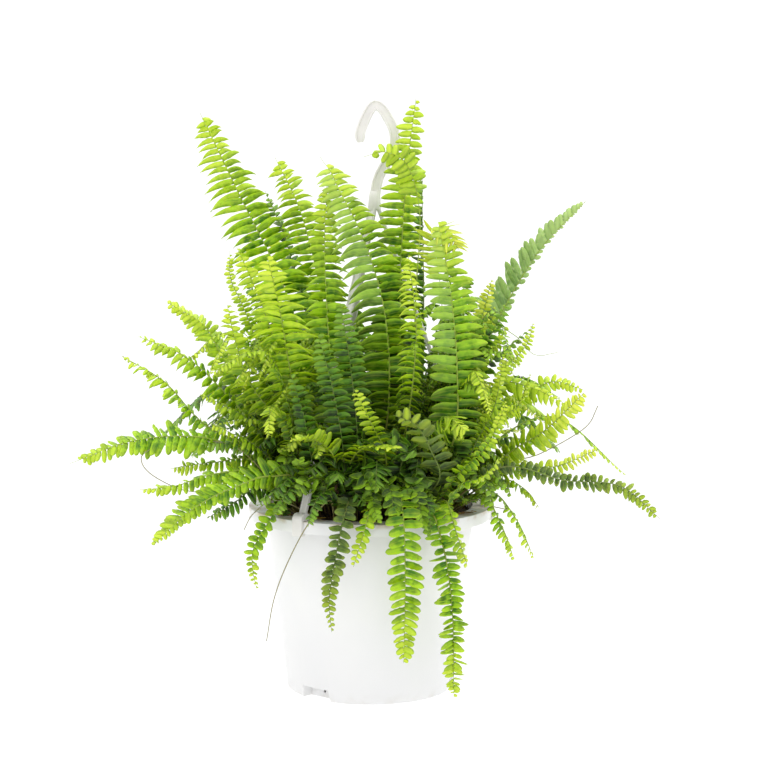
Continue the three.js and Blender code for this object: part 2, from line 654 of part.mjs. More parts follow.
// The rib's sections, from the end of its root in the soil to the last pair of leaflets
function ribSections(frond) {
  const curve = new THREE.CatmullRomCurve3(frond.route, false, "catmullrom", 0.5);
  const tip = frond.route[frond.route.length - 1];
  const foot = frond.route[0];
  const outward = tip.clone().sub(foot).setZ(0);
  const bearing = frond.face === undefined ? Math.atan2(-outward.y, -outward.x) : rad(frond.face);
  const across = UP.clone().cross(vec(Math.cos(bearing), Math.sin(bearing), 0));
  const bareShare = frond.pairs ? BARE_SHARE : 1;
  const bareSteps = frond.pairs ? BARE_STEPS : RUNNER_STEPS;
  const leafShare = (LAST_PAIR - bareShare) / Math.max(1, frond.pairs);
  const shares = [];
  for (let i = 0; i <= bareSteps; i++) shares.push((bareShare * i) / bareSteps);
  for (let i = 1; i <= frond.pairs; i++) shares.push(bareShare + leafShare * i);
  if (!frond.pairs) shares.pop();
  const sections = shares.map((share, i) => {
    const along = i ? curve.getTangentAt(share) : UP.clone();
    const level = across.clone().addScaledVector(along, -across.dot(along)).normalize();
    const face = level.clone().cross(along).normalize();
    const turn = rad(frond.turn ?? 0) * Math.min(1, share / BARE_SHARE);
    const side = level.clone().multiplyScalar(Math.cos(turn)).addScaledVector(face, Math.sin(turn));
    const normal = side.clone().cross(along).normalize();
    const size = (1 - (1 - RIB_TAPER) * share) * (frond.pairs ? 1 : RUNNER_SHARE);
    const [width, thickness] = [RIB_WIDTH * size, RIB_THICKNESS * size];
    const centre = curve.getPointAt(share);
    return { share, centre, along, side, normal, corners: section(centre, side, normal, width, thickness) };
  });
  if (frond.node.fronds.length > 1) return { sections, firstLeaf: bareSteps, tip };
  const corners = sections[0].corners.map((p) => p.clone().setZ(p.z - ROOT_DEPTH));
  return { sections: [{ ...sections[0], corners }, ...sections], firstLeaf: 1 + bareSteps, tip };
}

// How long the leaflets are along the blade: short at its foot, full in the middle, fine at the tip
function leafLength(frond, share) {
  const foot = Math.min(1, 0.6 + 1.6 * share);
  const tip = (1 - share ** 3.4) ** 0.75;
  return Math.max(SHORTEST_LEAF, (frond.width / 2) * foot * tip);
}

// A leaflet's end, as its upper and lower corner, for the side +1 or -1 of the rib
function leafEnd(low, high, hand, length, droop) {
  const along = high.centre.clone().sub(low.centre);
  const lean = along.length() * LEAF_SWEEP[0] + length * LEAF_SWEEP[1];
  along.normalize();
  const side = low.side.clone().add(high.side);
  side.addScaledVector(along, -side.dot(along)).normalize();
  const normal = side.clone().cross(along);
  const end = low.centre
    .clone()
    .lerp(high.centre, 0.5)
    .addScaledVector(side, hand * length)
    .addScaledVector(along, lean)
    .addScaledVector(normal, -length * droop);
  const above = end.clone().addScaledVector(normal, LEAF_THICKNESS / 2);
  const below = end.clone().addScaledVector(normal, -LEAF_THICKNESS / 2);
  return [above, below];
}

function leafPiece(low, high, hand, [above, below]) {
  const [top, bottom] = hand > 0 ? [0, 3] : [1, 2];
  const points = [
    low.corners[top],
    high.corners[top],
    above,
    low.corners[bottom],
    high.corners[bottom],
    below,
  ];
  const rim = [
    points[1].clone().sub(points[0]).normalize(),
    points[2].clone().sub(points[1]).normalize(),
    points[0].clone().sub(points[2]).normalize(),
  ];
  const face = rim[0].clone().cross(rim[1]).normalize();
  const under = points[4].clone().sub(points[3]).cross(points[5].clone().sub(points[4])).normalize();
  const normals = [face, under, ...rim.map((edge) => edge.clone().cross(low.normal).normalize())];
  return convex(points, normals, [...rim, low.normal]);
}

// Leaflets are given in turn to the fronds, and each is as long as what already stands there allows
const taken = hangerPieces();
for (const frond of ALL_FRONDS) {
  Object.assign(frond, ribSections(frond));
  const last = frond.sections[frond.sections.length - 1];
  const point = section(frond.tip, last.side, last.normal, 0.2, LEAF_THICKNESS);
  const corners = [...frond.sections.map((s) => s.corners), point];
  for (let i = 1; i < corners.length; i++) {
    taken.push(Object.assign(barPiece(corners[i - 1], corners[i]), { frond, at: i - 1, rib: true }));
  }
}

// Leaflets next to each other on a frond may touch, and so may a leaflet and the rib beside it
function roomFor(piece, other) {
  if (piece.frond !== other.frond) return LEAF_CLEARANCE;
  if (Math.abs(piece.at - other.at) > 1) return GAP;
  return other.rib ? -Infinity : -0.02;
}

function fits(piece) {
  const edgePoints = [piece.points[2], piece.points[5]];
  for (const end of [piece.points[2], piece.points[5]]) {
    for (const base of [piece.points[0], piece.points[1]]) edgePoints.push(base.clone().lerp(end, 0.5));
  }
  if (!edgePoints.every(clearOfPot)) return false;
  return taken.every((other) => apart(piece, other, roomFor(piece, other)));
}

for (const frond of ALL_FRONDS) {
  frond.leaves = [];
  for (let i = 0; i < frond.pairs; i++) {
    const low = frond.sections[frond.firstLeaf + i];
    const high = frond.sections[frond.firstLeaf + i + 1];
    const length = leafLength(frond, (i + 0.5) / frond.pairs);
    const droop = LEAF_DROOP * draw(0.4, 1.6);
    for (const hand of [1, -1]) {
      for (const cut of LEAF_CUTS) {
        const ends = leafEnd(low, high, hand, length * cut, droop);
        const at = frond.firstLeaf + i;
        const piece = Object.assign(leafPiece(low, high, hand, ends), { frond, at });
        if (!fits(piece)) continue;
        taken.push(piece);
        frond.leaves.push({ at, hand, ends });
        break;
      }
    }
  }
}

// The frond as one closed surface: four corners a section, and two more for each leaflet's end
function makeFrond(frond) {
  const points = frond.sections.flatMap((s) => s.corners);
  const faces = [];
  const quad = (a, b, c, d) => faces.push(a, b, c, a, c, d);
  const last = frond.sections.length - 1;
  quad(3, 2, 1, 0);
  for (let i = 0; i < last; i++) {
    for (let k = 0; k < 4; k++) {
      const [a, b] = [4 * i + k, 4 * i + ((k + 1) % 4)];
      const [c, d] = [b + 4, a + 4];
      const hand = { 1: -1, 3: 1 }[k];
      const leaf = frond.leaves.find((l) => l.at === i && l.hand === hand);
      if (!leaf) {
        quad(a, b, c, d);
        continue;
      }
      const above = points.push(leaf.ends[0]) - 1;
      const below = points.push(leaf.ends[1]) - 1;
      const [endA, endB] = hand < 0 ? [above, below] : [below, above];
      quad(a, b, endB, endA);
      faces.push(b, c, endB);
      quad(c, d, endA, endB);
      faces.push(d, a, endA);
    }
  }
  const { normal } = frond.sections[last];
  const above = points.push(frond.tip.clone().addScaledVector(normal, LEAF_THICKNESS / 2)) - 1;
  const below = points.push(frond.tip.clone().addScaledVector(normal, -LEAF_THICKNESS / 2)) - 1;
  const [a, b, c, d] = [0, 1, 2, 3].map((k) => 4 * last + k);
  faces.push(a, b, above);
  quad(b, c, below, above);
  faces.push(c, d, below);
  quad(d, a, above, below);
  const geometry = new THREE.BufferGeometry().setFromPoints(points);
  geometry.setIndex(faces.reverse()); // the faces above are listed as seen from inside
  return geometry;
}

// The scene graph

const plant = new THREE.Group();

function add(name, geometry, color, roughness) {
  const material = new THREE.MeshStandardMaterial({ color, roughness, metalness: 0 });
  const mesh = new THREE.Mesh(geometry, material);
  mesh.name = name;
  plant.add(mesh);
}

// A spray's fronds, fused to the peg of their crown
function makeSpray(fronds) {
  const foot = fronds[0].route[0];
  const peg = box(CROWN, CROWN, ROOT_DEPTH + CROWN);
  peg.translate(foot.x, foot.y, foot.z + (CROWN - ROOT_DEPTH) / 2);
  return geometryOf(fronds.reduce((spray, frond) => spray.add(solid(makeFrond(frond))), solid(peg)));
}

const roots = [];
for (const node of NODES) {
  const fronds = ALL_FRONDS.filter((frond) => frond.node === node);
  const single = fronds.length === 1;
  const geometry = single ? makeFrond(fronds[0]) : makeSpray(fronds);
  add(node.name, geometry, LOOKS[fronds[0].look], 0.55);
  const { centre, side, normal } = fronds[0].sections[0];
  const frame = single ? new THREE.Matrix4().makeBasis(normal, side, UP) : new THREE.Matrix4();
  const size = fronds[0].pairs ? 1 : RUNNER_SHARE;
  const [width, depth] = single ? [RIB_WIDTH * size, RIB_THICKNESS * size] : [CROWN, CROWN];
  roots.push({ place: centre, frame, width, depth });
}

add("pot", geometryOf(makePot()), 0xf4f4f2, 0.4);
add("soil", geometryOf(makeSoil(roots)), 0x2c211a, 0.95);
add("hanger", geometryOf(makeHanger()), 0xf0f0ee, 0.4);

export default plant;
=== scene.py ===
# %% [markdown]
# # A potted sword fern, dressed in Blender
# The real plant is a young fern in a white hanging pot, with a moulded hanger of three arms and a hook.
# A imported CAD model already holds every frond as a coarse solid. This lesson keeps each frond where the
# CAD has it and gives it its full number of fine leaflets, then finishes the pot, the hanger and the soil.

import json
import math
import random
from functools import partial

import bmesh
import bpy
import numpy as np
from mathutils import Matrix, Vector, noise

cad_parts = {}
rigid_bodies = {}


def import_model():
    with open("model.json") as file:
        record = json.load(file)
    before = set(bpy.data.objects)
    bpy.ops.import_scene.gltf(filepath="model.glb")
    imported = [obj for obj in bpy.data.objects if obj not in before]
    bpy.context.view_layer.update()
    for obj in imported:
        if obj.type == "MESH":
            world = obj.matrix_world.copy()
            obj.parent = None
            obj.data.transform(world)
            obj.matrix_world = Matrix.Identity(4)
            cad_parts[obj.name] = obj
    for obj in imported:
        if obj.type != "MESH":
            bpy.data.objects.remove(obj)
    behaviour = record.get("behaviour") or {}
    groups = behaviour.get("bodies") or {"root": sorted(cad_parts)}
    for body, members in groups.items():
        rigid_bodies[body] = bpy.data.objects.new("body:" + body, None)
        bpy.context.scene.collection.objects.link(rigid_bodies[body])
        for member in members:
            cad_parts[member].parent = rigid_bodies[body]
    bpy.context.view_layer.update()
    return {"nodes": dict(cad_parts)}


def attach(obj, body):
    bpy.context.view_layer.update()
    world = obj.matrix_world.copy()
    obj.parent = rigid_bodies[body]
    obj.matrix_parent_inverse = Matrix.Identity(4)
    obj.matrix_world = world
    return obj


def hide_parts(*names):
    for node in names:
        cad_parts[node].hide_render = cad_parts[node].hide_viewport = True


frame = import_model()
MM = 0.001
print("CAD nodes:", len(frame["nodes"]))

# %% [markdown]
# The camera stands where the photographer stood: level with the middle of the crown, nearly two metres
# off, with a long lens that looks slightly down. A long lens keeps the pot's sides almost parallel.

# %% Camera
CAMERA_PLACE = (0.0086, -1.83, 0.473)
CAMERA_DIP = math.radians(6.4)
CAMERA_LENS = 101.3

lens = bpy.data.cameras.new("camera")
lens.lens = CAMERA_LENS
camera = bpy.data.objects.new("camera", lens)
camera.location = CAMERA_PLACE
camera.rotation_euler = (math.pi / 2 - CAMERA_DIP, 0, 0)
bpy.context.scene.collection.objects.link(camera)
bpy.context.scene.camera = camera
print("camera at", CAMERA_PLACE)

# %% [markdown]
# Node trees are built with a few small helpers, so that a tree reads as a recipe: `place` adds one node
# and fills its inputs with plain values or with other nodes' outputs, `maths` and `product` do sums,
# `clamped` makes a mask, and `plug` gives a material its colour, its roughness and its relief.

# %% Helpers for node trees
FLOAT, COLOUR = "NodeSocketFloat", "NodeSocketColor"


def place(tree, kind, inputs=(), **settings):
    """Adds a node, sets its own settings and fills its inputs, which are named or numbered."""
    made = tree.nodes.new(kind)
    for name, value in settings.items():
        setattr(made, name, value)
    for key, value in dict(inputs).items():
        if isinstance(value, bpy.types.NodeSocket):
            tree.links.new(value, made.inputs[key])
        else:
            made.inputs[key].default_value = value
    return made


def step(tree, kind, inputs=(), output=0, **settings):
    """Adds a node like place, and gives one of its output sockets."""
    return place(tree, kind, inputs, **settings).outputs[output]


def maths(tree, operation, a, b=0.0, c=0.0):
    """One scalar sum; its output socket."""
    return step(tree, "ShaderNodeMath", {0: a, 1: b, 2: c}, operation=operation)


def product(tree, first, *others):
    """Some numbers multiplied together."""
    for other in others:
        first = maths(tree, "MULTIPLY", first, other)
    return first


def clamped(tree, value, low, high):
    """A value's place between low and high, from 0 to 1, with a soft start and end."""
    settings = {"Value": value, "From Min": low, "From Max": high}
    return place(tree, "ShaderNodeMapRange", settings, interpolation_type="SMOOTHSTEP").outputs[0]


def mixed(tree, share, first, second):
    """Two colours mixed by a share."""
    return place(tree, "ShaderNodeMix", {0: share, 6: first, 7: second}, data_type="RGBA").outputs[2]


def coated(tree, colour, coats):
    """A colour with coats over it, each of them with its mask, its strength and its own colour."""
    for mask, strength, coat in coats:
        colour = mixed(tree, product(tree, mask, strength), colour, coat)
    return colour


def attribute(tree, name):
    """A named attribute of the mesh as a number."""
    return place(tree, "ShaderNodeAttribute", attribute_name=name).outputs["Fac"]


def paint(red, green, blue):
    """A colour as it looks on a screen, 0 to 255, as the linear colour that a shader wants."""
    linear = [((c / 255 + 0.055) / 1.055) ** 2.4 if c > 10 else c / 3294.6 for c in (red, green, blue)]
    return (*linear, 1.0)


def group(name, inputs, outputs):
    """An empty shader node group with named sockets, its input node and its output node."""
    made = bpy.data.node_groups.new(name, "ShaderNodeTree")
    for socket, kind, value in inputs:
        made.interface.new_socket(socket, in_out="INPUT", socket_type=kind).default_value = value
    for socket, kind in outputs:
        made.interface.new_socket(socket, in_out="OUTPUT", socket_type=kind)
    return made, made.nodes.new("NodeGroupInput").outputs, made.nodes.new("NodeGroupOutput").inputs


def material(name):
    """An empty node material: itself, its tree and its Principled BSDF."""
    made = bpy.data.materials.new(name)
    made.use_nodes = True
    return made, made.node_tree, made.node_tree.nodes["Principled BSDF"]


def plug(tree, shader, colour, roughness, height, depth, strength):
    """Gives a material its colour, its roughness and a relief that is depth millimetres deep."""
    bump = place(tree, "ShaderNodeBump", {"Height": height, "Distance": depth * MM, "Strength": strength})
    tree.links.new(colour, shader.inputs["Base Color"])
    tree.links.new(roughness, shader.inputs["Roughness"])
    tree.links.new(bump.outputs[0], shader.inputs["Normal"])


def milky(shader, weight, radius, depth):
    """Lets some light scatter inside a material, to a depth in millimetres."""
    shader.inputs["Subsurface Weight"].default_value = weight
    shader.inputs["Subsurface Radius"].default_value = radius
    shader.inputs["Subsurface Scale"].default_value = depth * MM


# %% [markdown]
# The photograph is bright and almost without shadow, as in a white room with a skylight. The world is
# white at the horizon and brighter overhead, so that the upper face of each leaflet is light and its
# underside darker. One weak square lamp, high up and a little behind the plant, is the skylight that
# gives the leaflets their glints. The pot hangs, so the pale floor lies well below it. Very far away the
# floor curves up, as paper does behind a photographer's table, so that no dark horizon shows.

# %% Floor and light
FLOOR_DROP = 0.32
# radius and height of the floor's rings in metres: flat at first, curving up in the distance
COVE = ((0.0, 0.0), (80.0, 0.0), (84.0, 1.0), (98.0, 9.4))
COVE_SIDES = 64
PALE = (0.75, 0.75, 0.75, 1)
FLOOR_ROUGHNESS = 0.9
# height of the view, with 1 straight up, and the world's brightness there
HORIZON, HORIZON_LIGHT = 0.15, 1.06
OVERHEAD, OVERHEAD_LIGHT = 0.9, 1.8
SKYLIGHT_PLACE = (0.5, 0.5, 2.0)
SKYLIGHT_SIZE = 1.0
SKYLIGHT_POWER = 12
CROWN_MIDDLE = (0, 0, 0.3)

scene = bpy.context.scene
scene.view_settings.view_transform = "Standard"
world = bpy.data.worlds.new("white room")
world.use_nodes = True
scene.world = world
sky = world.node_tree
view = place(sky, "ShaderNodeTexCoord").outputs["Generated"]
heights = {
    "Value": place(sky, "ShaderNodeSeparateXYZ", {0: view}).outputs[2],
    "From Min": HORIZON, "From Max": OVERHEAD, "To Min": HORIZON_LIGHT, "To Max": OVERHEAD_LIGHT,
}
brightness = place(sky, "ShaderNodeMapRange", heights).outputs[0]
sky.links.new(brightness, sky.nodes["Background"].inputs["Strength"])
sky.nodes["Background"].inputs["Color"].default_value = (1, 1, 1, 1)


def circle(sides):
    """Cosines and sines of evenly spaced angles."""
    angles = [math.tau * k / sides for k in range(sides)]
    return [(math.cos(a), math.sin(a)) for a in angles]


corners = [(0.0, 0.0, -FLOOR_DROP)]
corners += [(r * c, r * s, z - FLOOR_DROP) for r, z in COVE[1:] for c, s in circle(COVE_SIDES)]
tiles = [(0, 1 + k, 1 + (k + 1) % COVE_SIDES) for k in range(COVE_SIDES)]
for ring in range(len(COVE) - 2):
    for k in range(COVE_SIDES):
        a = 1 + ring * COVE_SIDES + k
        b = 1 + ring * COVE_SIDES + (k + 1) % COVE_SIDES
        tiles.append((a, a + COVE_SIDES, b + COVE_SIDES, b))
floor_mesh = bpy.data.meshes.new("floor")
floor_mesh.from_pydata(corners, [], tiles)
floor_mesh.shade_smooth()
floor_paint, _, shader = material("floor paint")
shader.inputs["Base Color"].default_value = PALE
shader.inputs["Roughness"].default_value = FLOOR_ROUGHNESS
floor_mesh.materials.append(floor_paint)
floor = bpy.data.objects.new("floor", floor_mesh)
scene.collection.objects.link(floor)

lamp = bpy.data.lights.new("skylight", "AREA")
lamp.shape = "SQUARE"
lamp.size = SKYLIGHT_SIZE
lamp.energy = SKYLIGHT_POWER
skylight = bpy.data.objects.new("skylight", lamp)
skylight.location = SKYLIGHT_PLACE
toward = Vector(CROWN_MIDDLE) - Vector(SKYLIGHT_PLACE)
skylight.rotation_euler = toward.to_track_quat("-Z", "Y").to_euler()
scene.collection.objects.link(skylight)
print("floor", FLOOR_DROP, "m below the pot")

# %% [markdown]
# Uneven colour and a fine grain turn up on the pot, the hanger and the soil alike, so they are one node
# group. It reads the piece's own coordinates, in metres, and puts out a slow mask and a fine one.

# %% Shared group: blotches and grain
grain_group, given, wanted = group(
    "blotches and grain",
    [("Blotch scale", FLOAT, 20.0), ("Grain scale", FLOAT, 900.0)],
    [("Blotch", FLOAT), ("Grain", FLOAT)],
)
here = step(grain_group, "ShaderNodeTexCoord", output="Object")
for output, scale, detail in (("Blotch", "Blotch scale", 3.0), ("Grain", "Grain scale", 2.0)):
    cloudy = {"Vector": here, "Scale": given[scale], "Detail": detail}
    cloudy = step(grain_group, "ShaderNodeTexNoise", cloudy)
    grain_group.links.new(clamped(grain_group, cloudy, 0.35, 0.65), wanted[output])
print("group:", grain_group.name)


def grain(tree, blotch_scale, grain_scale):
    """The shared group placed in a material, with that material's own scales."""
    made = place(tree, "ShaderNodeGroup", node_tree=grain_group)
    made.inputs["Blotch scale"].default_value = blotch_scale
    made.inputs["Grain scale"].default_value = grain_scale
    return made.outputs["Blotch"], made.outputs["Grain"]


# %% [markdown]
# A leaflet's colour follows the leaflet and its place in the plant. The tree that makes the fronds stores
# attributes for this: `reach` runs from a leaflet's foot to its end, `across` from margin to margin and
# `share` along the rib, `hand` is the leaflet's side of the rib and `tint` its own random number.
# Leaflets differ a little from one to the next and are mottled. They are dark at the rib and on the old
# part of a frond, and painted shade darkens them inside the plant, where little light comes. They are
# fresh at their ends, their margins and their midribs and on the young end of the frond. Painted light
# brightens the half of each leaflet towards the frond's tip, and painted shade darkens the half towards
# its foot. In some looks the left leaflets of a frond also have a painted silvery sheen.

# %% Shared group: a leaflet's surface
MOTTLE_SCALE = 160.0
VEINS_ALONG = 46.0
VEIN_SLANT = 9.0
VEIN_RELIEF = 0.25
PAINTED_SHADE_GREEN = paint(6, 22, 2)
PAINTED_SHEEN_COLOUR = paint(172, 204, 110)

leaf, given, wanted = group(
    "leaflet surface",
    [("Deep", COLOUR, (0, 0, 0, 1)), ("Light", COLOUR, (1, 1, 1, 1)), ("Young", COLOUR, (1, 1, 0, 1)),
     ("Young from", FLOAT, 0.7), ("Silver", FLOAT, 0.0)],
    [("Color", COLOUR), ("Height", FLOAT), ("Roughness", FLOAT)],
)
deep, light, young = (given[name] for name in ("Deep", "Light", "Young"))
reach, across, share, tint, hand = (
    attribute(leaf, name) for name in ("reach", "across", "share", "tint", "hand")
)
here = step(leaf, "ShaderNodeTexCoord", output="Object")
mottle = step(leaf, "ShaderNodeTexNoise", {"Vector": here, "Scale": MOTTLE_SCALE, "Detail": 2.0})
off_midrib = maths(leaf, "ABSOLUTE", across)
midrib = clamped(leaf, off_midrib, 0.16, 0.03)

# painted shade in the middle of the plant, where little light comes, in metres: a low region that is wide
# and a tall one that is narrow. The leaflets with a high tint get less of it, as single ones that catch
# the light
x, y, z = place(leaf, "ShaderNodeSeparateXYZ", {0: here}).outputs
squares = maths(leaf, "ADD", maths(leaf, "POWER", x, 2.0), maths(leaf, "POWER", y, 2.0))
from_axis = maths(leaf, "SQRT", squares)
low_painted_shade = product(leaf, clamped(leaf, z, 0.34, 0.2), clamped(leaf, from_axis, 0.16, 0.07),
                   clamped(leaf, z, 0.16, 0.18))
tall_painted_shade = product(leaf, clamped(leaf, z, 0.46, 0.3), clamped(leaf, from_axis, 0.066, 0.03))
painted_shade_kept = maths(leaf, "MULTIPLY_ADD", clamped(leaf, tint, 0.55, 0.9), -0.65, 1.0)
inside = product(leaf, maths(leaf, "MAXIMUM", low_painted_shade, tall_painted_shade), painted_shade_kept)

mottling = product(leaf, clamped(leaf, mottle, 0.3, 0.7), 0.55)
freshness = maths(leaf, "ADD", product(leaf, tint, 0.45), mottling)
age = maths(leaf, "ADD", share, product(leaf, tint, 0.12))
tipward = product(leaf, across, hand)
# painted silver sheen on the left leaflets, from the middle of the frond up
painted_sheen = product(leaf, given["Silver"], clamped(leaf, hand, 0.5, -0.5), clamped(leaf, share, 0.4, 0.7))
plain = mixed(leaf, clamped(leaf, freshness, 0.05, 0.9), deep, light)
body = coated(leaf, plain, (
    (clamped(leaf, reach, 0.4, 1.0), 0.42, young),  # the leaflet's end
    (clamped(leaf, reach, 0.4, 0.05), 0.45, deep),  # its foot at the rib
    (clamped(leaf, share, 0.66, 0.16), 0.48, deep),  # the old part of the frond
    (clamped(leaf, age, given["Young from"], 1.1), 1.0, young),  # the young end of the frond
    # painted shade deep inside the plant
    (inside, 0.93, PAINTED_SHADE_GREEN),
    # painted shade on the half towards the frond's foot, painted light on the half towards its tip
    (clamped(leaf, tipward, -0.1, -0.9), 0.68, deep),  # the half towards the frond's foot
    (clamped(leaf, tipward, 0.2, 1.0), 0.75, light),  # the half towards the frond's tip
    (clamped(leaf, off_midrib, 0.75, 1.0), 0.35, light),  # the margin
    (midrib, 0.14, young),
    # a painted silver sheen on the left leaflets
    (painted_sheen, 1.0, PAINTED_SHEEN_COLOUR),
))
leaf.links.new(body, wanted["Color"])
slant = maths(leaf, "ADD", product(leaf, reach, VEINS_ALONG), product(leaf, off_midrib, -VEIN_SLANT))
veins = product(leaf, maths(leaf, "SINE", slant), VEIN_RELIEF)
leaf.links.new(maths(leaf, "ADD", veins, midrib), wanted["Height"])
leaf.links.new(maths(leaf, "MULTIPLY_ADD", mottle, 0.2, 0.28), wanted["Roughness"])
print("group:", leaf.name)

# %% [markdown]
# Real fern leaflets let light through. A little subsurface scattering with a radius of about the blade's
# own thickness does that on a closed thin mesh, and unlike a plain translucent shader it survives export.

# %% Leaflet materials
# each look's dark shade, for old parts and painted shade, its light shade, also used as painted light, the
# shade of its young ends, the share of the rib from which a frond counts as young, and the strength of
# the painted silver sheen on its left leaflets
GREENS = {
    "fresh": ((66, 124, 0), (174, 212, 14), (208, 226, 70), 0.62, 0.0),
    "mid": ((48, 102, 0), (154, 198, 14), (198, 218, 62), 0.7, 0.0),
    "deep": ((8, 32, 4), (92, 144, 26), (136, 174, 56), 0.85, 0.0),
    "grey": ((92, 128, 58), (142, 174, 94), (174, 198, 120), 0.6, 0.0),
    "olive": ((40, 62, 18), (98, 124, 48), (172, 194, 48), 0.66, 0.0),
    "lush": ((14, 52, 2), (144, 190, 34), (150, 192, 44), 0.78, 0.0),
    "young": ((100, 144, 2), (170, 198, 22), (220, 226, 84), 0.55, 0.0),
    "silver": ((54, 112, 4), (152, 198, 30), (202, 220, 70), 0.7, 0.35),
}
LEAF_GLOW = 0.25
GLOW_RADIUS = (0.7, 1.0, 0.25)
GLOW_DEPTH = 1.2
LEAF_SHINE = 0.28


def leaflet_material(look):
    """One look of leaflet: green shades, veins and light coming through the blade."""
    made, tree, shader = material("leaflet " + look)
    surface = place(tree, "ShaderNodeGroup", node_tree=leaf)
    *shades, young_from, silver = GREENS[look]
    for name, shade in zip(("Deep", "Light", "Young"), shades):
        surface.inputs[name].default_value = paint(*shade)
    surface.inputs["Young from"].default_value = young_from
    surface.inputs["Silver"].default_value = silver
    colour, height, roughness = surface.outputs
    plug(tree, shader, colour, roughness, height, depth=0.2, strength=0.6)
    shader.inputs["Specular IOR Level"].default_value = LEAF_SHINE
    milky(shader, LEAF_GLOW, GLOW_RADIUS, GLOW_DEPTH)
    return made


def rib_material(name, low, high):
    """A rib: one colour at its foot, another at its tip, with fine streaks."""
    made, tree, shader = material(name)
    shader.inputs["Specular IOR Level"].default_value = LEAF_SHINE
    blotch, streak = grain(tree, 60.0, 700.0)
    colour = mixed(tree, clamped(tree, attribute(tree, "share"), 0.02, 0.5), low, high)
    darker = mixed(tree, product(tree, streak, 0.25), colour, low)
    roughness = maths(tree, "MULTIPLY_ADD", blotch, 0.15, 0.4)
    plug(tree, shader, darker, roughness, streak, depth=0.2, strength=0.4)
    return made


LEAFLET_MATERIALS = {look: leaflet_material(look) for look in GREENS}
RIB_PALE = rib_material("rib pale", paint(112, 108, 48), paint(142, 166, 62))
RIB_DARK = rib_material("rib dark", paint(92, 74, 44), paint(110, 132, 62))
RIB_RUNNER = rib_material("rib runner", paint(202, 192, 128), paint(128, 124, 96))
RIBS = {"deep": RIB_DARK, "olive": RIB_DARK, "stem": RIB_RUNNER}
print("leaflet materials:", sorted(LEAFLET_MATERIALS))

# %% [markdown]
# ## Where the fronds run
# Each frond leaves the soil at its root and passes through the points of its way, in millimetres, up to
# its tip. `blade` is the frond's full width, `turn` rolls it about its rib in degrees, and `face` is the
# bearing that it looks to: a number, or None for the middle of the plant. The look picks the green and
# the habit picks the kind of leaflet. A row says root, blade, face, turn, look, habit and way, and the
# rows of a family are numbered from 1.

